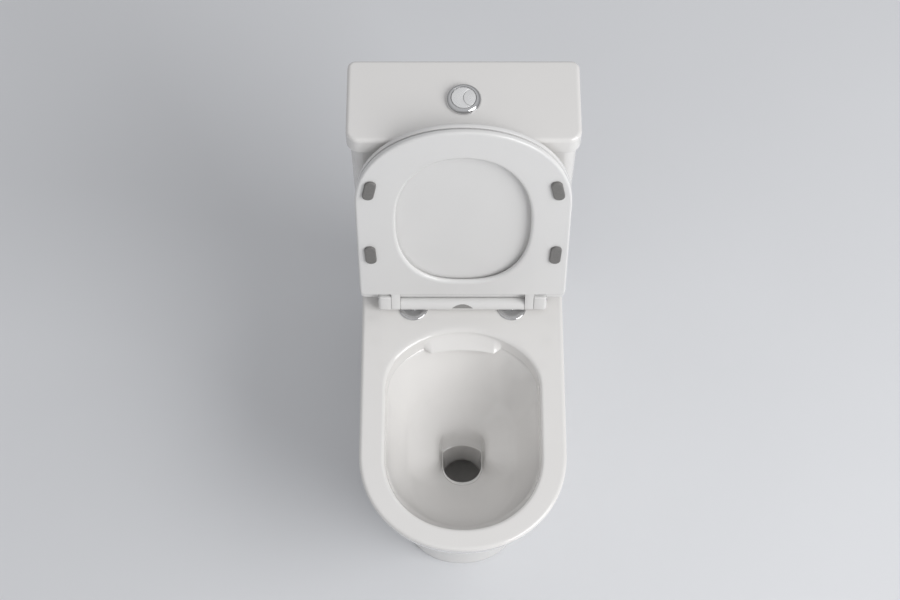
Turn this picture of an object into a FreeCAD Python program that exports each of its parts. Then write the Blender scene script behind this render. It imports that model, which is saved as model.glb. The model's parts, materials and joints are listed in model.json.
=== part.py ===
import FreeCAD, Part
import math
import os
import re

import Sketcher
from FreeCAD import Placement, Rotation, Vector

# Close coupled toilet: a floor-standing pan with a cistern on its deck and a quick-release
# soft-close seat. Millimetres. +Z is up, -Y is the front, X is left to right.
# The origin is on the floor, midway between the back plane (against the wall) and the pan's front.
# "back" in a name or argument is a distance measured forward from that back plane.

# ---------------------------------------------------------------- driving dimensions

DIMENSIONS = [
    # overall
    ("half_depth", 348, "half of the depth from the back plane to the pan's front"),
    ("pan_height", 404, "top of the pan's rim and deck"),
    ("pan_half_width", 178.5, "half of the pan's width at the rim"),
    ("wall", 12, "thickness of the ceramic walls"),
    ("deck_under", 388, "underside of the deck"),
    # foot
    ("foot_half_width", 114, "half of the width of the foot"),
    ("foot_front", 574, "front of the foot"),
    # bowl
    ("mouth_half_width", 134, "half of the width of the bowl's mouth"),
    ("mouth_back", 285, "rear edge of the bowl's mouth"),
    ("mouth_front", 655, "front edge of the bowl's mouth"),
    ("lip_drop", 24, "height of the smooth lip inside the rimless mouth"),
    ("well_back", 452, "centre of the round well"),
    ("bore_radius", 36, "radius of the trap's waterway"),
    ("trap_floor", 75, "height of the waterway's centre at the bottom of the trap"),
    ("weir_height", 195, "height of the waterway's centre over the weir"),
    ("outlet_height", 187, "height of the waste outlet's centre"),
    ("outlet_end", 70, "distance of the outlet's mouth from the back plane"),
    ("spigot_radius", 51, "outer radius of the waste outlet spigot"),
    ("spigot_length", 62, "length of the waste outlet spigot"),
    # cistern
    ("cistern_floor", 409, "underside of the cistern"),
    ("cistern_top", 793, "top of the cistern's walls"),
    ("cistern_half_width", 185, "half of the cistern's width at its top"),
    ("cistern_back", 4, "back face of the cistern at its top"),
    ("cistern_front", 150, "front face of the cistern at its top"),
    ("cistern_wall", 10, "thickness of the cistern's walls and floor"),
    ("cistern_draft", 0.5, "draft angle of the cistern's walls, degrees"),
    ("lid_top", 822, "top of the cistern lid"),
    ("lid_width", 380, "width of the cistern lid"),
    ("lid_depth", 156, "depth of the cistern lid"),
    ("lid_plate", 10, "thickness of the cistern lid's top"),
    ("valve_back", 78, "centre line of the valves, buttons and coupling bolts"),
    ("coupling_spacing", 160, "distance between the two coupling bolts"),
    ("bolt_radius", 4, "radius of the coupling bolts"),
    ("fill_offset", 125, "fill valve's distance to the right of the centre"),
    ("tail_radius", 10.48, "outer radius of the half inch inlet tail"),
    # push buttons
    ("bezel_radius", 29, "outer radius of the button's bezel"),
    ("button_radius", 20.2, "outer radius of the pair of buttons"),
    ("button_travel", 8, "travel of each button"),
    ("half_centre", 15.5, "centre of the arc between the two buttons"),
    ("half_radius", 16, "radius of the arc between the two buttons"),
    # seat and its hinge
    ("axis_back", 240, "hinge axis, distance from the back plane"),
    ("axis_height", 420, "hinge axis, height"),
    ("knuckle_radius", 12, "radius of the hinge bar and its knuckles"),
    ("bar_half_length", 108.6, "half of the length of the fixed hinge bar"),
    ("seat_knuckle_inner", 109.2, "inner end of the seat's knuckles"),
    ("seat_knuckle_outer", 124.7, "outer end of the seat's knuckles"),
    ("lid_knuckle_inner", 125.3, "inner end of the lid's knuckles"),
    ("lid_knuckle_outer", 148, "outer end of the lid's knuckles"),
    ("pin_radius", 4, "radius of the hinge pins"),
    ("pin_clearance", 0.06, "radial running clearance on the hinge pins"),
    ("raised_angle", 99.7, "angle between the closed seat and the raised seat, degrees"),
    ("seat_length", 458, "hinge axis to the front of the seat"),
    ("seat_rear", 36, "hinge axis to the rear edge of the seat"),
    ("seat_half_width", 179, "half of the width of the seat"),
    ("seat_under", -11, "seat's underside, below the hinge axis when closed"),
    ("seat_thick", 14, "thickness of the seat"),
    ("hole_half_width", 113, "half of the width of the seat's hole"),
    ("hole_rear", 74, "hinge axis to the rear of the seat's hole"),
    ("hole_front", 394, "hinge axis to the front of the seat's hole"),
    ("cover_under", 4, "lid's underside, above the hinge axis when closed"),
    ("cover_thick", 8, "thickness of the lid"),
    ("cover_rear", 14, "hinge axis to the rear edge of the lid"),
    ("base_offset", 87, "hinge base discs, distance from the centre"),
    ("base_radius", 26, "radius of the hinge base discs"),
    ("stud_offset", 77.5, "hinge studs, distance from the centre"),
    ("stud_radius", 3.95, "radius of the hinge studs"),
    # floor fixing
    ("bracket_back", 150, "floor brackets, distance from the back plane"),
    ("bracket_hole", 76, "floor screw holes, distance from the centre"),
    ("screw_height", 38, "height of the side fixing screws"),
]

doc = FreeCAD.newDocument("close_coupled_toilet")
sheet = doc.addObject("Spreadsheet::Sheet", "Dims")
for row, (alias, value, meaning) in enumerate(DIMENSIONS, start=1):
    sheet.set(f"A{row}", alias)
    sheet.set(f"B{row}", str(value))
    sheet.set(f"C{row}", meaning)
    sheet.setAlias(f"B{row}", alias)
doc.recompute()

NODES = []  # the finished sub-parts, in the order in which they are made


def size(alias):
    """A driving dimension as a number, for the shapes that are set in code."""
    return float(getattr(sheet, alias))


KNOWN = {alias for alias, _, _ in DIMENSIONS}


def expr(text):
    """An expression: bare words that are driving dimensions are read from the sheet."""
    if not isinstance(text, str):
        return f"{text:.6g}"
    return re.sub(r"[a-z_]+", lambda word: f"Dims.{word[0]}" if word[0] in KNOWN else word[0], text)


def bind(obj, settings):
    """Binds properties to expressions of the driving dimensions."""
    for prop, text in settings.items():
        obj.setExpression(prop, expr(text))
    return obj


def place(obj, x, back, z, turn=None):
    """Puts an object at x, at a distance from the back plane, and at a height."""
    obj.Placement = Placement(Vector(), turn or Rotation())
    return bind(obj, {
        "Placement.Base.x": x,
        "Placement.Base.y": f"half_depth - ({back})",
        "Placement.Base.z": z,
    })


def node(obj, label):
    """Marks an object as a finished sub-part and gives it its name."""
    obj.Label = label
    NODES.append(obj)
    return obj


# ---------------------------------------------------------------- primitives and booleans

ALONG_X = Rotation(Vector(0, 1, 0), 90)


def cylinder(name, radius, height, x, back, z, turn=None):
    """A cylinder that starts at the given point and runs up, or along turn's own Z."""
    obj = doc.addObject("Part::Cylinder", name)
    bind(obj, {"Radius": radius, "Height": height})
    return place(obj, x, back, z, turn)


def cone(name, radius_low, radius_high, height, x, back, z):
    obj = doc.addObject("Part::Cone", name)
    bind(obj, {"Radius1": radius_low, "Radius2": radius_high, "Height": height})
    return place(obj, x, back, z)


def box(name, wide, deep, high, x, back, z):
    """A box centred on x and back, standing on height z."""
    obj = doc.addObject("Part::Box", name)
    bind(obj, {"Length": wide, "Width": deep, "Height": high})
    return place(obj, f"{x} - ({wide}) / 2", f"{back} + ({deep}) / 2", z)


def hexagon(name, radius, height, x, back, z):
    obj = doc.addObject("Part::Prism", name)
    obj.Polygon = 6
    bind(obj, {"Circumradius": radius, "Height": height})
    return place(obj, x, back, z)


def cut(name, base, tool):
    obj = doc.addObject("Part::Cut", name)
    obj.Base = base
    obj.Tool = tool
    return obj


def fuse(name, *shapes):
    obj = doc.addObject("Part::MultiFuse", name)
    obj.Shapes = list(shapes)
    obj.Refine = True
    return obj


def common(name, *shapes):
    obj = doc.addObject("Part::MultiCommon", name)
    obj.Shapes = list(shapes)
    return obj


def group(name, *shapes):
    """Separate solids that share one node."""
    obj = doc.addObject("Part::Compound", name)
    obj.Links = list(shapes)
    return obj


def mirror(name, source):
    """The same piece on the other side of the middle plane."""
    obj = doc.addObject("Part::Mirroring", name)
    obj.Source = source
    obj.Normal = (1, 0, 0)
    return obj


def ring(name, outer, inner, height, x, back, z, turn=None):
    """A washer or a straight tube."""
    return cut(name, cylinder(f"{name}_outside", outer, height, x, back, z, turn),
               cylinder(f"{name}_bore", inner, height, x, back, z, turn))


def shape_object(name, shape):
    """An object whose shape is set in code from the sheet's sizes."""
    obj = doc.addObject("Part::Feature", name)
    obj.Shape = shape
    return obj


def solid_of(obj):
    """The one solid of a shape, refined."""
    shape = obj.removeSplitter()
    return shape.Solids[0] if len(shape.Solids) == 1 else shape


# ---------------------------------------------------------------- sketched bodies


def body(name, x, back, z, turn=None):
    return place(doc.addObject("PartDesign::Body", name), x, back, z, turn)


def sketch(owner, name, lift=0):
    """A sketch on the body's own XY plane, raised by lift."""
    obj = owner.newObject("Sketcher::SketchObject", name)
    plane = next(f for f in owner.Origin.OriginFeatures if f.Role == "XY_Plane")
    obj.AttachmentSupport = [(plane, "")]
    obj.MapMode = "FlatFace"
    return bind(obj, {"AttachmentOffset.Base.z": lift})


def dimension(obj, name, constraint, text):
    """Adds a dimension with a name and binds it to an expression."""
    index = obj.addConstraint(constraint)
    obj.renameConstraint(index, name)
    bind(obj, {f"Constraints.{name}": text})


def rectangle(obj, wide, deep):
    """A rectangle centred on the sketch's origin."""
    corners = [Vector(-50, -20), Vector(50, -20), Vector(50, 20), Vector(-50, 20)]
    for start in range(4):
        obj.addGeometry(Part.LineSegment(corners[start], corners[(start + 1) % 4]))
    for start in range(4):
        obj.addConstraint(Sketcher.Constraint("Coincident", start, 2, (start + 1) % 4, 1))
        obj.addConstraint(Sketcher.Constraint("Vertical" if start % 2 else "Horizontal", start))
    obj.addConstraint(Sketcher.Constraint("Symmetric", 0, 1, 2, 1, -1, 1))
    dimension(obj, "wide", Sketcher.Constraint("DistanceX", 0, 1, 0, 2, 100), wide)
    dimension(obj, "deep", Sketcher.Constraint("DistanceY", 1, 1, 1, 2, 40), deep)


def circle(obj, name, radius, x):
    """A circle on the sketch's X axis, x to the right of its origin."""
    index = obj.addGeometry(Part.Circle(Vector(size_of(x), 0, 0), Vector(0, 0, 1), 5))
    obj.addConstraint(Sketcher.Constraint("PointOnObject", index, 3, -1))
    if x == 0:
        obj.addConstraint(Sketcher.Constraint("PointOnObject", index, 3, -2))
    elif size_of(x) > 0:
        dimension(obj, f"{name}_x", Sketcher.Constraint("DistanceX", -1, 1, index, 3, 1), x)
    else:
        dimension(obj, f"{name}_x", Sketcher.Constraint("DistanceX", index, 3, -1, 1, 1), f"-({x})")
    dimension(obj, f"{name}_radius", Sketcher.Constraint("Radius", index, 5), radius)


def size_of(text):
    """The value of an expression of driving dimensions, as a starting guess for a sketch."""
    if not isinstance(text, str):
        return float(text)
    return float(doc.getObject("Dims").evalExpression(expr(text)))


def pad(owner, profile, name, length, draft=None):
    obj = owner.newObject("PartDesign::Pad", name)
    obj.Profile = profile
    bind(obj, {"Length": length})
    if draft is not None:
        bind(obj, {"TaperAngle": draft})
    return obj


def pocket(owner, profile, name, depth, draft=None, upward=False):
    obj = owner.newObject("PartDesign::Pocket", name)
    obj.Profile = profile
    obj.Reversed = upward
    bind(obj, {"Length": depth})
    if draft is not None:
        bind(obj, {"TaperAngle": draft})
    return obj


def fillet(owner, base, name, radius, wanted):
    """Rounds the edges of a feature for which wanted is true."""
    doc.recompute()
    names = [f"Edge{i}" for i, edge in enumerate(base.Shape.Edges, start=1) if wanted(edge)]
    obj = owner.newObject("PartDesign::Fillet", name)
    obj.Base = (base, names)
    bind(obj, {"Radius": radius})
    doc.recompute()
    return obj


def is_upright(edge):
    """An edge that runs up, apart from its wall's slight draft."""
    ends = [v.Point for v in edge.Vertexes]
    return len(ends) == 2 and abs((ends[1] - ends[0]).normalize().z) > 0.9


def is_flat_at(edge, height):
    box_of = edge.BoundBox
    return abs(box_of.ZMin - height) < 0.01 and abs(box_of.ZMax - height) < 0.01


# ---------------------------------------------------------------- the pan


def y_at(back):
    """The Y coordinate of a distance from the back plane."""
    return size("half_depth") - back


def foot_section(half_width, front, height, back=0.0):
    """A horizontal outline: flat back, straight sides and a half-round front."""
    left = Vector(-half_width, y_at(back), height)
    right = Vector(half_width, y_at(back), height)
    right_turn = Vector(half_width, y_at(front - half_width), height)
    left_turn = Vector(-half_width, y_at(front - half_width), height)
    nose = Vector(0, y_at(front), height)
    return Part.Wire([
        Part.LineSegment(left, right).toShape(),
        Part.LineSegment(right, right_turn).toShape(),
        Part.Arc(right_turn, nose, left_turn).toShape(),
        Part.LineSegment(left_turn, left).toShape(),
    ])


CORNER_SHARE = 0.709  # corner arc's radius as a share of the mouth's half width
CORNER_SET_IN = 0.82  # distance from the rear edge to the corner arc's centre, as a share too


def mouth_section(half_width, back, front, height):
    """A horizontal outline of the bowl: broad rear arc, two corner arcs, half-round front."""
    corner = CORNER_SHARE * half_width
    set_in = CORNER_SET_IN * half_width
    aside = half_width - corner
    rear = (aside**2 + set_in**2 - corner**2) / (2 * (set_in - corner))
    corner_y = y_at(back + set_in)
    front_y = y_at(front - half_width)
    lean = math.atan2(aside, rear - set_in)
    touch_x = rear * math.sin(lean)
    touch_y = y_at(back + rear) + rear * math.cos(lean)
    middle = lean + (math.pi / 2 - lean) / 2
    edges = [Part.Arc(Vector(-touch_x, touch_y, height), Vector(0, y_at(back), height),
                      Vector(touch_x, touch_y, height)).toShape()]
    corner_middle = Vector(aside + corner * math.sin(middle), corner_y + corner * math.cos(middle),
                           height)
    side_top = Vector(half_width, corner_y, height)
    side_end = Vector(half_width, front_y, height)
    edges.append(Part.Arc(Vector(touch_x, touch_y, height), corner_middle, side_top).toShape())
    edges.append(Part.LineSegment(side_top, side_end).toShape())
    flipped = [Vector(-p.x, p.y, p.z) for p in (side_end, side_top, corner_middle)]
    edges.append(Part.Arc(side_end, Vector(0, y_at(front), height), flipped[0]).toShape())
    edges.append(Part.LineSegment(flipped[0], flipped[1]).toShape())
    edges.append(Part.Arc(flipped[1], flipped[2], Vector(-touch_x, touch_y, height)).toShape())
    return Part.Wire(edges)


def outside_sections(inset, low, high):
    """The pan's outer sections, moved inward by inset, from height low to height high."""
    foot_w, foot_f = size("foot_half_width"), size("foot_front")
    rim_w, rim_f = size("pan_half_width"), 2 * size("half_depth")
    # share of the height, and share of the way from the foot's width and length to the rim's
    swell = [
        (0.0, 0.0, 0.0), (0.12, 0.01, 0.02), (0.28, 0.03, 0.09), (0.45, 0.13, 0.24), (0.6, 0.34, 0.46),
        (0.74, 0.64, 0.72), (0.85, 0.86, 0.9), (0.93, 0.97, 0.985), (1.0, 1.0, 1.0),
    ]
    rear = -1.0 if inset else 0.0  # the hollow inside runs out through the back
    sections = []
    for share, wider, longer in swell:
        half_width = foot_w + (rim_w - foot_w) * wider - inset
        front = foot_f + (rim_f - foot_f) * longer - inset
        sections.append(foot_section(half_width, front, low + (high - low) * share, rear))
    return sections


def bowl_sections(grow, start):
    """The bowl's inner surface below its lip, made larger by grow."""
    width, rear, front = size("mouth_half_width"), size("mouth_back"), size("mouth_front")
    bore, well = size("bore_radius"), size("well_back")
    depth = start - size("weir_height")
    # share of the depth, and share of the way from the mouth's size to the well's
    steps = [
        (0.0, 0.0, 0.0, 0.0), (0.16, 0.055, 0.13, 0.05), (0.34, 0.19, 0.28, 0.14),
        (0.52, 0.38, 0.46, 0.29), (0.7, 0.62, 0.66, 0.5), (0.86, 0.84, 0.85, 0.75),
        (1.0, 0.985, 0.97, 0.985),
    ]
    sections = []
    for share, narrower, rear_in, front_in in steps:
        half = width - 1 - (width - 1 - bore) * narrower
        back = rear + 5 + (well - bore - rear - 5) * rear_in
        nose = front - 2 - (front - 2 - well - bore) * front_in
        sections.append(mouth_section(half + grow, back - grow, nose + grow, start - depth * share))
    return sections


def waterway(radius, start_height, end_back):
    """A tube of the given radius along the trap: down the well, under, up to the weir and out."""
    well, weir = size("well_back"), size("weir_height")
    floor, outlet = size("trap_floor"), size("outlet_height")
    corners = [Vector(0, y_at(well), start_height), Vector(0, y_at(well), floor),
               Vector(0, y_at(well - 122), floor), Vector(0, y_at(well - 190), weir),
               Vector(0, y_at(end_back), outlet)]
    bend = 52.0
    edges = []
    start = corners[0]
    for before, corner, after in zip(corners, corners[1:], corners[2:]):
        inward = (corner - before).normalize()
        onward = (after - corner).normalize()
        turn = inward.getAngle(onward)
        reach = bend * math.tan(turn / 2)
        enter = corner - inward * reach
        leave = corner + onward * reach
        bisector = (onward - inward).normalize()
        middle = corner + bisector * (bend / math.cos(turn / 2) - bend)
        edges.append(Part.LineSegment(start, enter).toShape())
        edges.append(Part.Arc(enter, middle, leave).toShape())
        start = leave
    edges.append(Part.LineSegment(start, corners[-1]).toShape())
    path = Part.Wire(edges)
    profile = Part.Wire([Part.Circle(corners[0], Vector(0, 0, 1), radius).toShape()])
    return path.makePipeShell([profile], True, False)


def drill(radius, x, back, low, high, direction=Vector(0, 0, 1)):
    return Part.makeCylinder(radius, high - low, Vector(x, y_at(back), low), direction)


def slab(wide, back_low, back_high, low, high):
    """A box centred on the middle plane, between two distances from the back plane."""
    return Part.makeBox(wide, back_high - back_low, high - low, Vector(-wide / 2, y_at(back_high), low))


def loft(sections):
    """A smooth solid through closed outlines."""
    return Part.makeLoft(sections, True, False)


def make_mouth(lip, top):
    """The space inside the rim, from the lip's lower edge to just above the rim."""
    rise = top + 1 - lip
    lower = mouth_section(size("mouth_half_width"), size("mouth_back"), size("mouth_front"), lip)
    upper = mouth_section(size("mouth_half_width") + 3, size("mouth_back") - 8, size("mouth_front") + 4,
                          lip + rise)
    return loft([lower, upper])


def make_spreader(under, top):
    """The sloping shelf over the flush outlet, from the mouth's rear down to a curved edge."""
    rear = size("mouth_back")
    outline = [(84, -20), (70, 23), (55, 36)]  # half width, and distance in front of the mouth's rear
    middle = Vector(0, y_at(rear + 29), 0)
    right = [Vector(x, y_at(rear + ahead), 0) for x, ahead in outline]
    left = [Vector(-p.x, p.y, 0) for p in right]
    edges = [Part.LineSegment(left[i], left[i + 1]).toShape() for i in (0, 1)]
    edges.append(Part.Arc(left[2], middle, right[2]).toShape())
    edges += [Part.LineSegment(right[i + 1], right[i]).toShape() for i in (1, 0)]
    edges.append(Part.LineSegment(right[0], left[0]).toShape())
    plan = Part.Face(Part.Wire(edges)).extrude(Vector(0, 0, top))
    side = -90.0
    profile = [(rear - 20, under - 13), (rear - 20, top - 4), (rear - 4, top - 4),
               (rear + 37, under - 11), (rear + 37, under - 15), (rear - 20, under - 13)]
    slope = Part.Face(Part.makePolygon([Vector(side, y_at(back), z) for back, z in profile]))
    return plan.common(slope.extrude(Vector(-2 * side, 0, 0)))


def pan_holes(under, top):
    """Holes for the coupling bolts, the seat's studs, the water inlet and the floor fixing."""
    valve, stud_back = size("valve_back"), size("axis_back")
    holes = [drill(24, size("fill_offset"), valve, under - 5, top + 1)]
    for side in (-1, 1):
        holes.append(drill(5.5, side * size("coupling_spacing") / 2, valve, under - 5, top + 1))
        holes.append(drill(7, side * size("stud_offset"), stud_back, under - 5, top + 1))
        screw = drill(5, 0, size("bracket_back"), 0, 40, Vector(side, 0, 0))
        screw.translate(Vector(side * 90, 0, size("screw_height")))
        holes.append(screw)
    return holes


def make_pan():
    """The pan's castings: rim and deck, skirt, bowl, trapway and flush duct."""
    top, wall, under = size("pan_height"), size("wall"), size("deck_under")
    lip = top - size("lip_drop")
    well_bottom = size("weir_height")
    outside = loft(outside_sections(0, 0, top))
    rim_edges = [e for e in outside.Edges if is_flat_at(e, top) and e.BoundBox.YMin < y_at(100)]
    outside = outside.makeFillet(7, rim_edges)
    hollow = loft(outside_sections(wall, -1, under))
    basin = loft(bowl_sections(0, lip))
    basin_shell = loft(bowl_sections(wall, under + 2))

    spigot_back = size("outlet_end")
    trap = waterway(size("bore_radius"), well_bottom + 6, spigot_back - 1)
    trap_shell = waterway(size("bore_radius") + wall - 2, well_bottom, spigot_back + 20)
    spigot = drill(size("spigot_radius"), 0, spigot_back, 0, size("spigot_length"), Vector(0, -1, 0))
    spigot_bore = drill(42, 0, spigot_back - 1, 0, 40, Vector(0, -1, 0))
    for shape in (spigot, spigot_bore):
        shape.translate(Vector(0, 0, size("outlet_height")))

    valve, rear = size("valve_back"), size("mouth_back")
    duct_shell = slab(2 * 56, valve - 44, rear + 12, under - 42, under)
    duct = slab(2 * 45, valve - 33, rear + 26, under - 32, under - 15)
    throat = drill(32, 0, valve, under - 20, top + 1)
    recess = drill(47, 0, valve, top - 6, top + 1)
    voids = [make_mouth(lip, top), basin, trap, spigot_bore, duct, throat, recess]
    spreader = make_spreader(under, top)

    pan = outside.cut(hollow)
    pan = pan.fuse([basin_shell, trap_shell, spigot, duct_shell]).common(outside)
    pan = pan.cut(voids).fuse(spreader).cut(pan_holes(under, top))

    above = slab(400, -1, 700, under, top + 1)
    rim = pan.common(above).fuse(pan.common(spreader))
    below = pan.cut([above, spreader])
    tubes = trap_shell.fuse(spigot)
    within = below.common(hollow)
    trapway = within.common(tubes)
    flush_duct = within.common(duct_shell).cut([tubes, basin_shell])
    bowl = within.cut([tubes, flush_duct])
    return {
        "pan_rim": solid_of(rim),
        "pan_skirt": solid_of(below.cut(hollow)),
        "pan_bowl": solid_of(bowl),
        "pan_trapway": solid_of(trapway),
        "pan_flush_duct": solid_of(flush_duct),
    }


for pan_piece, pan_shape in make_pan().items():
    node(shape_object(pan_piece.title().replace("_", ""), pan_shape), pan_piece)

# ---------------------------------------------------------------- the cistern and its lid


def make_cistern():
    high = "(cistern_top - cistern_floor)"
    lean = f"{high} * tan(cistern_draft * 1deg)"
    owner = body("Cistern", 0, "(cistern_back + cistern_front) / 2", "cistern_floor")
    outline = sketch(owner, "CisternOutline")
    rectangle(outline, f"2 * (cistern_half_width - {lean})", f"cistern_front - cistern_back - 2 * {lean}")
    block = pad(owner, outline, "CisternBlock", high, "cistern_draft")
    rounded = fillet(owner, block, "CisternFrontCorners", 24,
                     lambda e: is_upright(e) and e.BoundBox.YMax < 0)
    rounded = fillet(owner, rounded, "CisternBackCorners", 14,
                     lambda e: is_upright(e) and e.BoundBox.YMin > 0 and e.Length > 100)
    fillet(owner, rounded, "CisternFoot", 8, lambda e: is_flat_at(e, 0))
    opening = sketch(owner, "CisternOpening", high)
    rectangle(opening, "2 * (cistern_half_width - cistern_wall)",
              "cistern_front - cistern_back - 2 * cistern_wall")
    inside = pocket(owner, opening, "CisternInside", f"{high} - cistern_wall - 2", "-cistern_draft")
    fillet(owner, inside, "CisternInsideCorners", 10,
           lambda e: is_upright(e) and abs(e.BoundBox.XMin) < size("cistern_half_width") - 8
           and e.Length > 300 and e.BoundBox.ZMin > 5)
    holes = sketch(owner, "CisternHoles", 20)
    circle(holes, "flush", 31.5, 0)
    circle(holes, "left_bolt", "bolt_radius + 1", "-coupling_spacing / 2")
    circle(holes, "right_bolt", "bolt_radius + 1", "coupling_spacing / 2")
    circle(holes, "inlet", "tail_radius + 1", "fill_offset")
    pocket(owner, holes, "CisternFloorHoles", 30)
    return owner


def make_cistern_lid():
    high = "(lid_top - cistern_top)"
    owner = body("CisternLid", 0, "lid_depth / 2", "cistern_top")
    outline = sketch(owner, "LidOutline")
    rectangle(outline, "lid_width", "lid_depth")
    rounded = pad(owner, outline, "LidBlock", high)
    rounded = fillet(owner, rounded, "LidFrontCorners", 22,
                     lambda e: is_upright(e) and e.BoundBox.YMax < 0)
    rounded = fillet(owner, rounded, "LidBackCorners", 14,
                     lambda e: is_upright(e) and e.BoundBox.YMin > 77)
    rounded = fillet(owner, rounded, "LidTopEdge", 6,
                     lambda e: is_flat_at(e, size("lid_top") - size("cistern_top")))
    fillet(owner, rounded, "LidBottomEdge", 1.5, lambda e: is_flat_at(e, 0))
    underside = sketch(owner, "LidRecess")
    rectangle(underside, "lid_width - 44", "lid_depth - 40")
    pocket(owner, underside, "LidHollow", f"{high} - lid_plate", upward=True)
    middle = sketch(owner, "LidButtonHole", high)
    circle(middle, "button", 24, 0)
    pocket(owner, middle, "LidHole", 40)
    for side, sign in (("Left", -1), ("Right", 1)):
        rib = sketch(owner, f"LidRib{side}", -7)
        corners = [(168, -40), (172.5, -40), (172.5, 40), (168, 40)]
        line = [Vector(sign * x, y) for x, y in corners]
        for start in range(4):
            rib.addGeometry(Part.LineSegment(line[start], line[(start + 1) % 4]))
            rib.addConstraint(Sketcher.Constraint("Block", start))
        pad(owner, rib, f"LidRibPad{side}", 8)
    return owner


node(make_cistern(), "cistern")
node(make_cistern_lid(), "cistern_lid")

# ---------------------------------------------------------------- cistern to pan

node(ring("Gasket", 46.5, 38, "cistern_floor - pan_height + 6", 0, "valve_back", "pan_height - 6"),
     "cistern_gasket")
pads = [box(f"Pad{side}", 30, 60, "cistern_floor - pan_height", sign * 146, "valve_back", "pan_height")
        for side, sign in (("Left", -1), ("Right", 1))]
holed_pad = cut("PadsCut", pads[1],
                cylinder("PadHole", 24, 20, "fill_offset", "valve_back", "pan_height - 5"))
node(group("Pads", pads[0], holed_pad), "cistern_pads")


def coupling_bolt(side, sign):
    """Bolt through the cistern's floor and the pan's deck."""
    x = f"{sign} * coupling_spacing / 2"
    name = f"Bolt{side}"
    inside = "cistern_floor + cistern_wall + 2"
    shank = cylinder(f"{name}Shank", "bolt_radius", f"{inside} + 3 - deck_under + 22", x, "valve_back",
                     "deck_under - 22")
    head = hexagon(f"{name}Head", 7.5, 5.5, x, "valve_back", f"{inside} + 3")
    return fuse(name, shank, head)


def wing_nut(name, bore, x, back, top, high):
    """A nut with two wings, whose upper face is at height top."""
    hub = cylinder(f"{name}Hub", 8, high, x, back, f"{top} - {high}")
    wings = box(f"{name}Wings", 30, 3, f"{high} - 2", x, back, f"{top} - {high}")
    hole = cylinder(f"{name}Hole", bore, f"{high} + 2", x, back, f"{top} - {high} - 1")
    return cut(name, fuse(f"{name}Body", hub, wings), hole)


SIDES = (("Left", -1), ("Right", 1))
seals, washers, nuts = [], [], []
for side, sign in SIDES:
    bolt_x = f"{sign} * coupling_spacing / 2"
    seals.append(ring(f"BoltSeal{side}", 11, "bolt_radius", 3, bolt_x, "valve_back",
                      "cistern_floor + cistern_wall + 2"))
    washers.append(ring(f"BoltWasher{side}", 11, "bolt_radius", 2, bolt_x, "valve_back",
                        "deck_under - 2"))
    nuts.append(wing_nut(f"BoltNut{side}", "bolt_radius", bolt_x, "valve_back", "(deck_under - 2)", 11))
node(group("CouplingBolts", *[coupling_bolt(side, sign) for side, sign in SIDES]), "coupling_bolts")
node(group("BoltSeals", *seals), "coupling_bolt_seals")
node(group("BoltWashers", *washers), "coupling_washers")
node(group("BoltNuts", *nuts), "coupling_wing_nuts")

# ---------------------------------------------------------------- flush valve

INSIDE = "(cistern_floor + cistern_wall + 2)"

seat_flange = cylinder("SeatFlange", 38, 6, 0, "valve_back", f"{INSIDE} + 3")
seat_tail = cylinder("SeatTail", 29, f"{INSIDE} + 3 - deck_under", 0, "valve_back", "deck_under")
seat_bore = cylinder("SeatBore", 24, 60, 0, "valve_back", "deck_under - 5")
node(cut("ValveSeat", fuse("SeatBody", seat_flange, seat_tail), seat_bore), "flush_valve_seat")
node(ring("SeatWasher", 38, 29, 3, 0, "valve_back", INSIDE), "flush_valve_washer")
tail_nut = hexagon("TailNutBody", 36, 8, 0, "valve_back", "cistern_floor - 8")
node(cut("TailNut", tail_nut, cylinder("TailNutBore", 29, 12, 0, "valve_back", "cistern_floor - 10")),
     "flush_valve_backnut")

HOUSING_FOOT = f"({INSIDE} + 9)"
HEAD_FOOT = "(cistern_top - 143)"
cage = ring("Cage", 36, 33, f"{HEAD_FOOT} - {HOUSING_FOOT}", 0, "valve_back", HOUSING_FOOT)
for turn_name, wide, deep in (("Across", 100, 26), ("Along", 26, 100)):
    window = box(f"CageWindow{turn_name}", wide, deep, 34, 0, "valve_back", f"{HOUSING_FOOT} + 8")
    cage = cut(f"CageCut{turn_name}", cage, window)
head = cylinder("ValveHead", 34, 10, 0, "valve_back", HEAD_FOOT)
tower = box("ValveTower", 44, 30, 84, 0, "valve_back", f"{HEAD_FOOT} + 10")
wells = [cylinder(f"ValveWell{name}", 5.5, 30, x, "valve_back", f"{HEAD_FOOT} + 74")
         for name, x in (("Full", -9), ("Half", 10))]
hollow_tower = cut("ValveTowerHollow", tower, fuse("ValveWells", *wells))
node(fuse("ValveHousing", cage, head, hollow_tower), "flush_valve_housing")

core = ring("OverflowTube", 13, 10.5, 180, 0, "valve_back", f"{HOUSING_FOOT} + 4")
foot = ring("OverflowFoot", 27, 10.5, 4, 0, "valve_back", f"{HOUSING_FOOT} + 4")
node(fuse("Overflow", core, foot), "overflow_tube")
node(ring("FlushSeal", 29, 10.5, 3.7, 0, "valve_back", f"{HOUSING_FOOT} + 0.3"), "flush_seal")

# ---------------------------------------------------------------- fill valve

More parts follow.
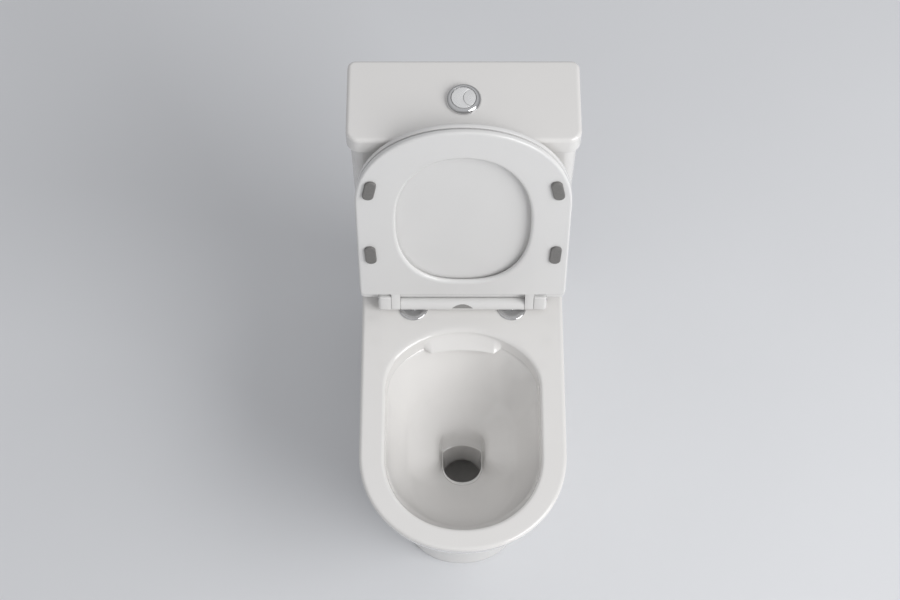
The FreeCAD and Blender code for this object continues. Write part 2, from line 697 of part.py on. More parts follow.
tail = cylinder("InletTail", "tail_radius", f"{INSIDE} + 3 - deck_under + 22", "fill_offset",
                "valve_back", "deck_under - 22")
column = cylinder("FillColumn", 11, "cistern_top - 100 - cistern_floor - 15", "fill_offset", "valve_back",
                  f"{INSIDE} + 3")
flange = cylinder("FillFlange", 17, 6, "fill_offset", "valve_back", f"{INSIDE} + 3")
fill_bore = cylinder("FillBore", 5, "cistern_top - 120 - deck_under + 25", "fill_offset", "valve_back",
                     "deck_under - 25")
node(cut("FillValve", fuse("FillBody", tail, column, flange), fill_bore), "fill_valve_column")
FILL_HEAD = "(cistern_top - 100)"
fill_head = cylinder("FillHead", 19, 24, "fill_offset", "valve_back", FILL_HEAD)
lug = box("LeverLug", 8, 6, 12, "fill_offset", "valve_back + 21", f"{FILL_HEAD} + 6")
lug_hole = cylinder("LugHole", 2, 20, "fill_offset", "valve_back + 30", f"{FILL_HEAD} + 12",
                    Rotation(Vector(1, 0, 0), -90))
node(cut("FillHeadCut", fuse("FillHeadBody", fill_head, lug), lug_hole), "fill_valve_head")
node(cylinder("FillCap", 17, 9, "fill_offset", "valve_back", f"{FILL_HEAD} + 24"), "fill_valve_cap")
node(ring("FillWasher", 17, "tail_radius", 3, "fill_offset", "valve_back", INSIDE), "fill_valve_washer")
fill_nut = hexagon("FillNutBody", 17, 9, "fill_offset", "valve_back", "cistern_floor - 9")
node(cut("FillNut", fill_nut, cylinder("FillNutBore", "tail_radius", 14, "fill_offset", "valve_back",
                                       "cistern_floor - 11")), "fill_valve_backnut")
FLOAT_FOOT = "(cistern_top - 220)"
cup = ring("FloatCup", 27, 12, 70, "fill_offset", "valve_back", FLOAT_FOOT)
rod = cylinder("FloatRod", 1.6, 56, "fill_offset + 33", "valve_back + 28", f"{FLOAT_FOOT} + 60")
ear = box("FloatEar", 18, 18, 4, "fill_offset + 27", "valve_back + 22", f"{FLOAT_FOOT} + 60")
ear = cut("FloatEarCut", ear, cylinder("FloatEarBore", 26.9, 20, "fill_offset", "valve_back",
                                       f"{FLOAT_FOOT} + 50"))
collar = cylinder("FloatCollar", 4, 3, "fill_offset + 33", "valve_back + 28", f"{FLOAT_FOOT} + 106")
node(fuse("Float", cup, ear, rod, collar), "float_cup")
LEVER_UP = f"{FILL_HEAD} + 12"
arm = box("LeverArm", 42, 4, 5, "fill_offset + 16", "valve_back + 27.5", f"{LEVER_UP} - 2.5")
fork = box("LeverFork", 12, 12, 5, "fill_offset + 32", "valve_back + 28", f"{LEVER_UP} - 2.5")
slot = box("LeverSlot", 20, 5, 9, "fill_offset + 38", "valve_back + 28", f"{LEVER_UP} - 4.5")
stub = cylinder("LeverPin", 1.95, 12, "fill_offset", "valve_back + 29.5", LEVER_UP,
                Rotation(Vector(1, 0, 0), -90))
node(fuse("Lever", cut("LeverForked", fuse("LeverBody", arm, fork), slot), stub), "float_lever")

# ---------------------------------------------------------------- push buttons


def sphere_cap(name, top, radius):
    """A large ball whose top is at height top, to round a button's face."""
    obj = doc.addObject("Part::Sphere", name)
    bind(obj, {"Radius": radius})
    return place(obj, 0, "valve_back", f"{top} - ({radius})")


BEZEL_TOP = "(lid_top + 9)"
dome = common("BezelDome", cylinder("BezelDisc", "bezel_radius", 9, 0, "valve_back", "lid_top"),
              sphere_cap("BezelBall", BEZEL_TOP, 65))
sleeve = cylinder("BezelSleeve", 23.5, 34, 0, "valve_back", "lid_top - 33")
bezel = fuse("BezelBody", dome, sleeve)
well = cylinder("BezelWell", "button_radius + 0.4", 60, 0, "valve_back", "lid_top - 30")
rod_holes = [cylinder(f"BezelHole{name}", 4, 40, x, "valve_back", "lid_top - 50")
             for name, x in (("Full", -9), ("Half", 10))]
node(cut("Bezel", bezel, fuse("BezelHoles", well, *rod_holes)), "button_bezel")
node(cut("BezelNut", hexagon("BezelNutBody", 32, 8, 0, "valve_back", "lid_top - lid_plate - 8"),
         cylinder("BezelNutBore", 23.5, 12, 0, "valve_back", "lid_top - lid_plate - 10")), "button_nut")

BUTTON_FOOT = "(lid_top + 1.5)"
disc = common("ButtonDisc", cylinder("ButtonRound", "button_radius", 8, 0, "valve_back", BUTTON_FOOT),
              sphere_cap("ButtonBall", "lid_top + 8.3", 90))
full_arc = cylinder("ButtonArcFull", "half_radius + 0.35", 20, "half_centre", "valve_back", BUTTON_FOOT)
half_arc = cylinder("ButtonArcHalf", "half_radius", 20, "half_centre", "valve_back", BUTTON_FOOT)
caps = {"Full": cut("ButtonCapFull", disc, full_arc), "Half": common("ButtonCapHalf", disc, half_arc)}
for name, x in (("Full", -9), ("Half", 10)):
    rod = cylinder(f"ButtonRod{name}", 3.5, 92, x, "valve_back", f"{BUTTON_FOOT} - 91")
    node(fuse(f"Button{name}", caps[name], rod), f"{name.lower()}_flush_button")


# each return spring is the closed outline of its coil, around the push rod
for label, x in (("full_flush_spring", -9), ("half_flush_spring", 10)):
    node(ring(f"Spring{label[:4].title()}", 5.8, 4.6, 31.5, x, "valve_back", "lid_top - 30"), label)

# ---------------------------------------------------------------- hinge on the pan

bar = cylinder("Bar", "knuckle_radius", "2 * bar_half_length", "-bar_half_length", "axis_back",
               "axis_height", ALONG_X)
sockets = [cylinder(f"BarSocket{side}", 5.3, 6.5, f"{sign} * base_offset", "axis_back",
                    "axis_height - 14")
           for side, sign in SIDES]
bores = [cylinder(f"BarBore{side}", 7, 72, x, "axis_back", "axis_height", ALONG_X)
         for side, x in (("Left", "-bar_half_length - 1"), ("Right", "bar_half_length - 71"))]
PRESS_TURN = Rotation(Vector(1, 0, 0), 60)


def button_prism(name, grow, low, high):
    """A half-lens outline on the front of the bar, facing forward and up by 30 degrees."""
    round_edge = doc.addObject("Part::Cylinder", f"{name}Arc")
    bind(round_edge, {"Radius": f"24.25 + {grow}", "Height": f"{high} - {low}"})
    flat_edge = doc.addObject("Part::Box", f"{name}Flat")
    bind(flat_edge, {"Length": 60, "Width": 30, "Height": f"{high} - {low}"})
    facing = Placement(Vector(0, y_at(size("axis_back")), size("axis_height")), PRESS_TURN)
    round_edge.Placement = facing.multiply(Placement(Vector(0, -20.3, low), Rotation()))
    flat_edge.Placement = facing.multiply(Placement(Vector(-30, -4.05 - grow, low), Rotation()))
    return common(name, round_edge, flat_edge)


recess = button_prism("ReleaseRecess", 0.3, 1.5, 14)
node(cut("BarCut", bar, fuse("BarHoles", *sockets, *bores, recess)), "hinge_bar")
button_block = button_prism("ReleaseBlock", 0, 5, 14)
button_face = cylinder("ReleaseShell", "knuckle_radius + 0.5", 60, -30, "axis_back", "axis_height",
                       ALONG_X)
node(common("Release", button_block, button_face), "release_button")

for side, sign in SIDES:
    label = side.lower()
    damper_start = "-bar_half_length + 2" if sign < 0 else "bar_half_length - 62"
    damper = cylinder(f"Damper{side}", 6.9, 60, damper_start, "axis_back", "axis_height", ALONG_X)
    node(damper, f"{label}_damper")
    pin_start = "-lid_knuckle_outer + 4" if sign < 0 else "bar_half_length - 2"
    pin_length = "lid_knuckle_outer - 4 - bar_half_length + 2"
    pin = cylinder(f"Pin{side}", "pin_radius", pin_length, pin_start, "axis_back", "axis_height", ALONG_X)
    node(pin, f"{label}_hinge_pin")
    disc_x = f"{sign} * base_offset"
    flat_disc = cylinder(f"BaseDisc{side}", "base_radius", 3.4, disc_x, "axis_back + 1", "pan_height")
    ball = bind(doc.addObject("Part::Sphere", f"BaseBall{side}"), {"Radius": 260})
    dome = common(f"BaseDome{side}", flat_disc,
                  place(ball, disc_x, "axis_back + 1", "pan_height + 3.4 - 260"))
    post = cylinder(f"BasePost{side}", 5, "axis_height - pan_height - 8", disc_x, "axis_back",
                    "pan_height")
    socket = cylinder(f"BaseSocket{side}", "stud_radius + 0.05", 4, f"{sign} * stud_offset", "axis_back",
                      "pan_height - 2")
    node(cut(f"Base{side}", fuse(f"BaseBody{side}", dome, post), socket), f"{label}_hinge_base")

studs, cones, stud_nuts = [], [], []
for side, sign in SIDES:
    stud_x = f"{sign} * stud_offset"
    studs.append(cylinder(f"Stud{side}", "stud_radius", 56, stud_x, "axis_back", "pan_height - 54"))
    cones.append(cut(f"Cone{side}",
                     cone(f"ConeBody{side}", 12, 9, 10, stud_x, "axis_back", "deck_under - 10"),
                     cylinder(f"ConeBore{side}", "stud_radius", 20, stud_x, "axis_back",
                              "deck_under - 15")))
    stud_nuts.append(wing_nut(f"StudNut{side}", "stud_radius", stud_x, "axis_back",
                              "(deck_under - 10)", 12))
node(group("Studs", *studs), "hinge_studs")
node(group("Cones", *cones), "hinge_cone_washers")
node(group("StudNuts", *stud_nuts), "hinge_wing_nuts")

# ---------------------------------------------------------------- seat and lid
#
# Each piece is drawn closed, around the hinge axis, and then turned to its raised place.


def hinged(obj):
    """Turns a piece drawn closed, with its origin on the hinge axis, to its raised place."""
    obj.Placement = Placement(Vector(), Rotation(Vector(1, 0, 0), -90))
    return bind(obj, {
        "Placement.Base.y": "half_depth - axis_back",
        "Placement.Base.z": "axis_height",
        "Placement.Rotation.Angle": "raised_angle",
        "Placement.Rotation.Axis.x": -1,
    })


def u_outline(obj, rear, length, half_width):
    """A seat's outline in a sketch: straight rear and sides, half-round front."""
    turn = -300
    points = [Vector(-150, -30), Vector(150, -30), Vector(150, turn), Vector(-150, turn)]
    front = Part.Circle(Vector(0, turn), Vector(0, 0, 1), 150)
    obj.addGeometry(Part.LineSegment(points[0], points[1]))
    obj.addGeometry(Part.LineSegment(points[1], points[2]))
    obj.addGeometry(Part.ArcOfCircle(front, math.pi, 2 * math.pi))
    obj.addGeometry(Part.LineSegment(points[3], points[0]))
    for constraint in (("Coincident", 0, 2, 1, 1), ("Tangent", 1, 2, 2, 2), ("Tangent", 2, 1, 3, 1),
                       ("Coincident", 3, 2, 0, 1), ("Horizontal", 0), ("Vertical", 1), ("Vertical", 3),
                       ("PointOnObject", 2, 3, -2)):
        obj.addConstraint(Sketcher.Constraint(*constraint))
    dimension(obj, "half_width", Sketcher.Constraint("Radius", 2, 150), half_width)
    dimension(obj, "rear", Sketcher.Constraint("DistanceY", 0, 1, -1, 1, 30), rear)
    dimension(obj, "turn", Sketcher.Constraint("DistanceY", 2, 3, -1, 1, 300), f"{length} - {half_width}")


def oval(half_width, rear, front, height, power=2.35, count=48):
    """A closed smooth outline between an ellipse and a rectangle, for the seat's hole."""
    middle, half_length = (rear + front) / 2, (front - rear) / 2
    points = []
    for step in range(count):
        angle = 2 * math.pi * step / count
        across, along = math.cos(angle), math.sin(angle)
        x = math.copysign(abs(across) ** (2 / power), across) * half_width
        a = math.copysign(abs(along) ** (2 / power), along) * half_length
        points.append(Vector(x, -(middle + a), height))
    curve = Part.BSplineCurve()
    curve.interpolate(points, PeriodicFlag=True)
    return Part.Wire([curve.toShape()])


def make_seat_ring():
    owner = hinged(doc.addObject("PartDesign::Body", "SeatBody"))
    outline = sketch(owner, "SeatOutline", "seat_under")
    u_outline(outline, "seat_rear", "seat_length", "seat_half_width")
    block = pad(owner, outline, "SeatBlock", "seat_thick")
    rounded = fillet(owner, block, "SeatCorners", 10, is_upright)
    low, high = size("seat_under"), size("seat_under") + size("seat_thick")
    rounded = fillet(owner, rounded, "SeatUnderEdge", 3.5, lambda e: is_flat_at(e, low))
    fillet(owner, rounded, "SeatTopEdge", 5, lambda e: is_flat_at(e, high))
    doc.recompute()
    flat = owner.Shape.copy()
    flat.Placement = Placement()
    # how far the hole opens out, at heights from the underside to the top
    flare = [(4.5, low - 0.1), (0.6, low + 4), (0, low + 7), (1.5, high - 3), (7, high + 0.1)]
    half_width, rear, front = size("hole_half_width"), size("hole_rear"), size("hole_front")
    hole = loft([oval(half_width + grow, rear - grow, front + grow, height) for grow, height in flare])
    tongue_wide = size("seat_knuckle_outer") - size("seat_knuckle_inner")
    slots = [Part.makeBox(tongue_wide, 24, 9.4, Vector(x, -54, -9))
             for x in (size("seat_knuckle_inner"), -size("seat_knuckle_outer"))]
    ring_shape = solid_of(flat.cut([hole] + slots))
    return hinged(shape_object("SeatRing", ring_shape))


def make_cover():
    owner = hinged(doc.addObject("PartDesign::Body", "CoverBody"))
    outline = sketch(owner, "CoverOutline", "cover_under")
    u_outline(outline, "cover_rear", "seat_length - 1", "seat_half_width - 0.5")
    block = pad(owner, outline, "CoverBlock", "cover_thick")
    rounded = fillet(owner, block, "CoverCorners", 10, is_upright)
    top = size("cover_under") + size("cover_thick")
    rounded = fillet(owner, rounded, "CoverTopEdge", 5, lambda e: is_flat_at(e, top))
    fillet(owner, rounded, "CoverUnderEdge", 1.5, lambda e: is_flat_at(e, size("cover_under")))
    return owner


def local_box(name, low, high):
    """A box between two corners given as (x, forward, up) from the hinge axis."""
    obj = doc.addObject("Part::Box", name)
    bind(obj, {"Length": f"({high[0]}) - ({low[0]})", "Width": f"({high[1]}) - ({low[1]})",
               "Height": f"({high[2]}) - ({low[2]})"})
    return bind(obj, {"Placement.Base.x": low[0], "Placement.Base.y": f"-({high[1]})",
                      "Placement.Base.z": low[2]})


def hinge_arm(name, inner, outer, tongue_end, tongue_low, tongue_high):
    """A knuckle around the hinge pin with a tongue towards the seat or lid, on the right side."""
    length = f"{outer} - {inner}"
    knuckle = doc.addObject("Part::Cylinder", f"{name}Knuckle")
    bore = doc.addObject("Part::Cylinder", f"{name}Bore")
    for obj, radius in ((knuckle, "knuckle_radius"), (bore, "pin_radius + pin_clearance")):
        obj.Placement = Placement(Vector(), ALONG_X)
        bind(obj, {"Radius": radius, "Height": length, "Placement.Base.x": inner})
    tongue = local_box(f"{name}Tongue", (inner, 0, tongue_low), (outer, tongue_end, tongue_high))
    return cut(name, fuse(f"{name}Body", knuckle, tongue), bore)


def both_sides(name, label, piece):
    """The right-hand piece and its mirror image, each a node, at the raised place."""
    node(hinged(piece), f"{label}_right")
    twin = mirror(f"{name}Left", piece)
    node(twin, f"{label}_left")


node(make_seat_ring(), "seat_ring")
node(make_cover(), "seat_lid")
both_sides("SeatArm", "seat_hinge_arm",
           hinge_arm("SeatArm", "seat_knuckle_inner", "seat_knuckle_outer", "seat_rear + 18", -9, 0.4))
both_sides("CoverArm", "lid_hinge_arm",
           hinge_arm("CoverArm", "lid_knuckle_inner", "lid_knuckle_outer", 33, -3, "cover_under"))


def bumper(name, x, forward, lean, low, high):
    """A seat buffer: a flat pad with round ends, leaning a little with the seat's edge."""
    wide, long = 19, 44
    parts = [doc.addObject("Part::Box", f"{name}Middle")]
    bind(parts[0], {"Length": wide, "Width": long - wide, "Height": f"({high}) - ({low})"})
    offsets = [Vector(-wide / 2, -(long - wide) / 2, 0)]
    for end in (-1, 1):
        parts.append(doc.addObject("Part::Cylinder", f"{name}End{end + 1}"))
        bind(parts[-1], {"Radius": wide / 2, "Height": f"({high}) - ({low})"})
        offsets.append(Vector(0, end * (long - wide) / 2, 0))
    spot = Placement(Vector(x, -forward, size_of(low)), Rotation(Vector(0, 0, 1), lean))
    for part, offset in zip(parts, offsets):
        part.Placement = spot.multiply(Placement(offset, Rotation()))
    return fuse(name, *parts)


right_bumpers = [bumper("BumperFront", 154, 320, 11, "seat_under - 4.6", "seat_under"),
                 bumper("BumperRear", 157, 152, -3, "seat_under - 4.6", "seat_under")]
left_bumpers = [mirror(f"{obj.Name}Left", obj) for obj in right_bumpers]
node(hinged(group("Bumpers", *right_bumpers, *left_bumpers)), "seat_bumpers")
buffers = []
for name, x, forward in (("FrontRight", 70, 428), ("FrontLeft", -70, 428),
                         ("RearRight", 140, 120), ("RearLeft", -140, 120)):
    obj = doc.addObject("Part::Cylinder", f"Buffer{name}")
    bind(obj, {"Radius": 6, "Height": 0.7, "Placement.Base.x": x, "Placement.Base.y": -forward,
               "Placement.Base.z": "cover_under - 0.7"})
    buffers.append(obj)
node(hinged(group("Buffers", *buffers)), "lid_bumpers")

# ---------------------------------------------------------------- floor fixing

INNER = "(foot_half_width - wall - 1)"


def bracket(side, sign):
    name = f"Bracket{side}"
    upright = box(f"{name}Upright", 8, 44, 62, f"{sign} * ({INNER} - 4)", "bracket_back", 0)
    flat = box(f"{name}Foot", f"{INNER} - 60", 44, 8, f"{sign} * ({INNER} + 60) / 2", "bracket_back", 0)
    floor_hole = cylinder(f"{name}FloorHole", 4, 12, f"{sign} * bracket_hole", "bracket_back", -2)
    side_hole = cylinder(f"{name}SideHole", 3, 30, f"{sign} * {INNER} - 15", "bracket_back",
                         "screw_height", ALONG_X)
    return cut(name, fuse(f"{name}Body", upright, flat), fuse(f"{name}Holes", floor_hole, side_hole))


def side_screw(side, sign):
    name = f"SideScrew{side}"
    start = f"{INNER} - 8" if sign > 0 else "-(foot_half_width + 1)"
    shank = cylinder(f"{name}Shank", 3, f"foot_half_width + 1 - {INNER} + 8", start, "bracket_back",
                     "screw_height", ALONG_X)
    head_at = "foot_half_width + 0.9" if sign > 0 else "-(foot_half_width + 0.9) - 3"
    head = cylinder(f"{name}Head", 6.5, 3, head_at, "bracket_back", "screw_height", ALONG_X)
    return fuse(name, shank, head)


def screw_cap(side, sign):
    name = f"ScrewCap{side}"
    start = "foot_half_width + 0.9" if sign > 0 else "-(foot_half_width + 0.9) - 5"
    hollow = "foot_half_width + 0.8" if sign > 0 else "-(foot_half_width + 0.9) - 3.2"
    return cut(name, cylinder(f"{name}Body", 9.5, 5, start, "bracket_back", "screw_height", ALONG_X),
               cylinder(f"{name}Hollow", 7, 3.3, hollow, "bracket_back", "screw_height", ALONG_X))


node(group("Brackets", *[bracket(side, sign) for side, sign in SIDES]), "floor_brackets")
node(group("SideScrews", *[side_screw(side, sign) for side, sign in SIDES]), "side_screws")
node(group("ScrewCaps", *[screw_cap(side, sign) for side, sign in SIDES]), "screw_caps")

# ---------------------------------------------------------------- check and write

doc.recompute()
for obj in doc.Objects:
    if "Invalid" in obj.State or "Error" in obj.State:
        raise RuntimeError(f"{obj.Label} failed: {obj.State}")
for obj in NODES:
    if obj.Shape.isNull() or not obj.Shape.isValid() or not obj.Shape.Solids:
        raise RuntimeError(f"{obj.Label} has no sound solid")
os.makedirs("parts", exist_ok=True)
for obj in NODES:
    obj.Shape.exportStep(f"parts/{obj.Label}.step")
    print(obj.Label, len(obj.Shape.Solids), round(obj.Shape.Volume / 1000, 1))
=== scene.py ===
import json
import math

import bmesh
import bpy
import numpy as np
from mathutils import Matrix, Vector


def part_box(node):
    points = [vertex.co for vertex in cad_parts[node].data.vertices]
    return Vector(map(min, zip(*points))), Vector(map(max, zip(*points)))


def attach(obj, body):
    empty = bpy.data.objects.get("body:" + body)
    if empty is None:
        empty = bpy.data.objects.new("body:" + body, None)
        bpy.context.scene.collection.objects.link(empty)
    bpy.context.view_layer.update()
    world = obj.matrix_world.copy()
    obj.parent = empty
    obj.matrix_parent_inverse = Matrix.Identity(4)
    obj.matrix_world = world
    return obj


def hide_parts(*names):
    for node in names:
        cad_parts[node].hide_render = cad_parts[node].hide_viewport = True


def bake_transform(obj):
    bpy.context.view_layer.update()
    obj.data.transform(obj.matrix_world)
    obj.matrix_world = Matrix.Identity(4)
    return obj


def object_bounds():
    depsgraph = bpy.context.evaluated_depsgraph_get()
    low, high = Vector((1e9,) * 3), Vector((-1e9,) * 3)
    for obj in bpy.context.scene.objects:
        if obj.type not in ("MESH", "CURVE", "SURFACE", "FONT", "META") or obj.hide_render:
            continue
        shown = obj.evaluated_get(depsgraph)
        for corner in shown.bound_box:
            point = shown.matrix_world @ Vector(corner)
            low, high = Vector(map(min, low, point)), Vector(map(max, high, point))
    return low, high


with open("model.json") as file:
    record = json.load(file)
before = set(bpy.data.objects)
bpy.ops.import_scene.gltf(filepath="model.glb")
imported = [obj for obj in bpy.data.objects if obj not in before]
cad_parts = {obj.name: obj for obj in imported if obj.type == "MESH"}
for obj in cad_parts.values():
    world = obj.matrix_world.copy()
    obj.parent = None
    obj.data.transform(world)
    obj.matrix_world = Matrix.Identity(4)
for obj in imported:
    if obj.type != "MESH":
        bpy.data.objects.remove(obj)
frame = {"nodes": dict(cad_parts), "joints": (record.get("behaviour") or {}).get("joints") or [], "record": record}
cad_low, cad_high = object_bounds()

# Lengths in this script are millimetres. "back" is a distance forward from the back plane,
# and points made here are (x, back, z). They become metres in the object's frame in solid().
MM = 0.001
BACK_PLANE = cad_high.y / MM

# ---------------------------------------------------------------- camera

camera_data = bpy.data.cameras.new("camera")
camera_data.lens = 76.8
camera_data.sensor_width = 36.0
camera = bpy.data.objects.new("camera", camera_data)
camera.location = (-0.0221, -1.4443, 3.4309)
camera.rotation_euler = (math.radians(27.36), 0, 0)
bpy.context.scene.collection.objects.link(camera)
bpy.context.scene.camera = camera

# ---------------------------------------------------------------- places read from the frame


def reach(node):
    """A node's box in millimetres: half width, nearest and farthest back, bottom and top."""
    low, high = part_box(node)
    return {
        "half": high.x / MM,
        "back": BACK_PLANE - high.y / MM,
        "front": BACK_PLANE - low.y / MM,
        "low": low.z / MM,
        "high": high.z / MM,
    }


RIM = reach("pan_rim")
TANK = reach("cistern")
TANK_LID = reach("cistern_lid")
BEZEL = reach("button_bezel")
lid_hinge = next(joint for joint in frame["joints"] if joint["name"] == "lid_hinge")
AXIS_BACK = BACK_PLANE - lid_hinge["pos_m"][1] / MM
AXIS_Z = lid_hinge["pos_m"][2] / MM
RAISED = math.radians(99.7)

# ---------------------------------------------------------------- mesh helpers


def solid(name, shells, material, body, nodes):
    """A piece made of closed shells, each (points, faces), that rides on a body and stands for nodes."""
    mesh = bpy.data.meshes.new(name)
    edit = bmesh.new()
    for points, faces in shells:
        corners = []
        for x, back, z in points:
            corners.append(edit.verts.new((x * MM, (BACK_PLANE - back) * MM, z * MM)))
        for face in faces:
            edit.faces.new([corners[i] for i in face])
    bmesh.ops.recalc_face_normals(edit, faces=edit.faces)
    edit.to_mesh(mesh)
    edit.free()
    obj = bpy.data.objects.new(name, mesh)
    bpy.context.scene.collection.objects.link(obj)
    mesh.materials.append(material)
    smooth(mesh)
    if body:
        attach(obj, body)
        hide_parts(*nodes)
    return obj


def smooth(mesh, angle=32):
    """Smooth shading, with edges sharper than the angle kept crisp."""
    mesh.shade_smooth()
    mesh.set_sharp_from_angle(angle=math.radians(angle))


def skin(loops, closed=False):
    """A shell through rings of points: closed on itself, or capped at its first and last ring."""
    count = len(loops[0])
    points = [tuple(p) for ring in loops for p in ring]
    faces = []
    for row in range(len(loops) if closed else len(loops) - 1):
        a = row * count
        b = (row + 1) % len(loops) * count
        for i in range(count):
            j = (i + 1) % count
            faces.append((a + i, a + j, b + j, b + i))
    if not closed:
        last = (len(loops) - 1) * count
        faces.append(tuple(range(count)))
        faces.append(tuple(range(last, last + count)))
    return points, faces


def lathe(profile, centre, axis="z", count=72):
    """A shell turned about an axis: profile holds (radius, distance along the axis) pairs."""
    x, back, z = centre
    loops = []
    for radius, along in profile:
        ring = []
        for i in range(count):
            angle = 2 * math.pi * i / count
            across, up = radius * math.cos(angle), radius * math.sin(angle)
            if axis == "z":
                ring.append((x + across, back - up, z + along))
            else:
                ring.append((x + along, back - across, z + up))
        loops.append(ring)
    return skin(loops)


def quarter(start, stop, bulge, count=5):
    """Points (a, b) on a quarter ellipse from start to stop, start left out; bulge is its corner."""
    points = []
    for i in range(1, count + 1):
        t = math.pi / 2 * i / count
        c, s = math.cos(t), math.sin(t)
        points.append(tuple(bulge[k] + (start[k] - bulge[k]) * (1 - s) + (stop[k] - bulge[k]) * (1 - c)
                            for k in (0, 1)))
    return points


def between(table, at):
    """A smooth monotone curve through rows of (position, values...), read at one position."""
    rows = np.array(table, float)
    x, y = rows[:, 0], rows[:, 1:]
    at = min(max(at, x[0]), x[-1])
    widths = np.diff(x)
    slopes = np.diff(y, axis=0) / widths[:, None]
    tangents = np.vstack([slopes[:1], np.zeros_like(slopes[1:]), slopes[-1:]])
    for i in range(1, len(x) - 1):
        product = slopes[i - 1] * slopes[i]
        total = np.where(product > 0, slopes[i - 1] + slopes[i], 1)
        tangents[i] = np.where(product > 0, 2 * product / total, 0)
    k = min(max(int(np.searchsorted(x, at)) - 1, 0), len(x) - 2)
    t = (at - x[k]) / widths[k]
    return (y[k] * (2 * t**3 - 3 * t**2 + 1) + y[k + 1] * (3 * t**2 - 2 * t**3)
            + widths[k] * (tangents[k] * (t**3 - 2 * t**2 + t) + tangents[k + 1] * (t**3 - t**2)))


# ---------------------------------------------------------------- outlines seen from above

# A half outline runs from the middle of the rear edge, over the rear corner and the side, to the
# middle of the front. Every outline of the pan has the same number of points on each stretch.
REAR, CORNER, SIDE, NOSE = 40, 18, 22, 36
NOTCH_KNOTS = ((0.0, 0.0), (0.45, 0.55), (0.75, 0.675), (1.0, 1.0))
NOSE_POWER = 2.1  # the front is a little squarer than a circle


def whole(half):
    """A closed outline from its half on the right."""
    half = np.array(half, float)
    return np.vstack([half, half[-2:0:-1] * (-1, 1)])


def rear_share(i):
    """Where the i-th point of the rear stretch lies, so that points fall on the spreader's corners."""
    return float(np.interp(i / REAR, *zip(*NOTCH_KNOTS)))


def run(start, stop, count):
    """Evenly spaced points on a straight line, start left out."""
    start, stop = np.array(start, float), np.array(stop, float)
    return [tuple(start + (stop - start) * i / count) for i in range(1, count + 1)]


def bend(centre, radius, start, stop, count, power=2.0):
    """Points on an arc, start left out; angles in degrees from +X towards the front."""
    points = []
    for i in range(1, count + 1):
        angle = math.radians(start + (stop - start) * i / count)
        c, s = math.cos(angle), math.sin(angle)
        length = radius / (abs(c) ** power + abs(s) ** power) ** (1 / power)
        points.append((centre[0] + length * c, centre[1] + length * s))
    return points


def skirt_outline(half, front, back, corner):
    """Flat rear with tight corners, straight sides and a round front."""
    points = [((half - corner) * rear_share(i), back) for i in range(REAR + 1)]
    points += bend((half - corner, back + corner), corner, -90, 0, CORNER)
    points += run(points[-1], (half, front - half), SIDE)
    points += bend((0, front - half), half, 0, 90, NOSE, NOSE_POWER)
    return whole(points)


def bowl_outline(half, back, front, corner, set_in, grow=0.0):
    """Broad rear arc, corner arcs, straight sides, round front; corner and set_in are shares of half."""
    half, back, front = half + grow, back - grow, front + grow
    corner, set_in = corner * half, set_in * half
    aside = half - corner
    radius = (aside**2 + set_in**2 - corner**2) / (2 * (set_in - corner))
    lean = math.atan2(aside, radius - set_in)
    touch = aside + corner * math.sin(lean)
    points = []
    for i in range(REAR + 1):
        x = touch * rear_share(i)
        points.append((x, back + radius - math.sqrt(radius**2 - x**2)))
    points += bend((aside, back + set_in), corner, math.degrees(lean) - 90, 0, CORNER)
    points += run(points[-1], (half, front - half), SIDE)
    points += bend((0, front - half), half, 0, 90, NOSE, NOSE_POWER)
    return whole(points)


def at_height(outline, z):
    """An outline as points in space, at one height or at a height for each point."""
    return np.column_stack([outline, np.broadcast_to(z, len(outline))])


# ---------------------------------------------------------------- materials


def material(name, color, spread=0.02, grain=18.0, roughness=0.2, rough_spread=0.04, bump=0.0,
             bump_grain=60.0, metallic=0.0, coat=0.0, coat_roughness=0.05, ior=1.5):
    """A surface whose colour, gloss and relief vary a little over the piece."""
    made = bpy.data.materials.new(name)
    made.use_nodes = True
    nodes, links = made.node_tree.nodes, made.node_tree.links
    shader = nodes["Principled BSDF"]
    shader.inputs["Metallic"].default_value = metallic
    shader.inputs["IOR"].default_value = ior
    shader.inputs["Coat Weight"].default_value = coat
    shader.inputs["Coat Roughness"].default_value = coat_roughness
    place = nodes.new("ShaderNodeTexCoord")

    def noise(scale, detail):
        texture = nodes.new("ShaderNodeTexNoise")
        texture.inputs["Scale"].default_value = scale
        texture.inputs["Detail"].default_value = detail
        links.new(place.outputs["Object"], texture.inputs["Vector"])
        return texture.outputs["Fac"]

    ramp = nodes.new("ShaderNodeValToRGB")
    darker = [c * (1 - spread) for c in color]
    lighter = [min(c * (1 + spread), 1) for c in color]
    ramp.color_ramp.elements[0].position = 0.3
    ramp.color_ramp.elements[0].color = (*darker, 1)
    ramp.color_ramp.elements[1].position = 0.7
    ramp.color_ramp.elements[1].color = (*lighter, 1)
    links.new(noise(grain, 3.0), ramp.inputs["Fac"])
    links.new(ramp.outputs["Color"], shader.inputs["Base Color"])
    gloss = nodes.new("ShaderNodeMapRange")
    gloss.inputs["To Min"].default_value = roughness - rough_spread
    gloss.inputs["To Max"].default_value = roughness + rough_spread
    links.new(noise(grain * 1.7, 2.0), gloss.inputs["Value"])
    links.new(gloss.outputs["Result"], shader.inputs["Roughness"])
    if bump:
        relief = nodes.new("ShaderNodeBump")
        relief.inputs["Strength"].default_value = bump
        relief.inputs["Distance"].default_value = 0.001
        links.new(noise(bump_grain, 2.0), relief.inputs["Height"])
        links.new(relief.outputs["Normal"], shader.inputs["Normal"])
    return made


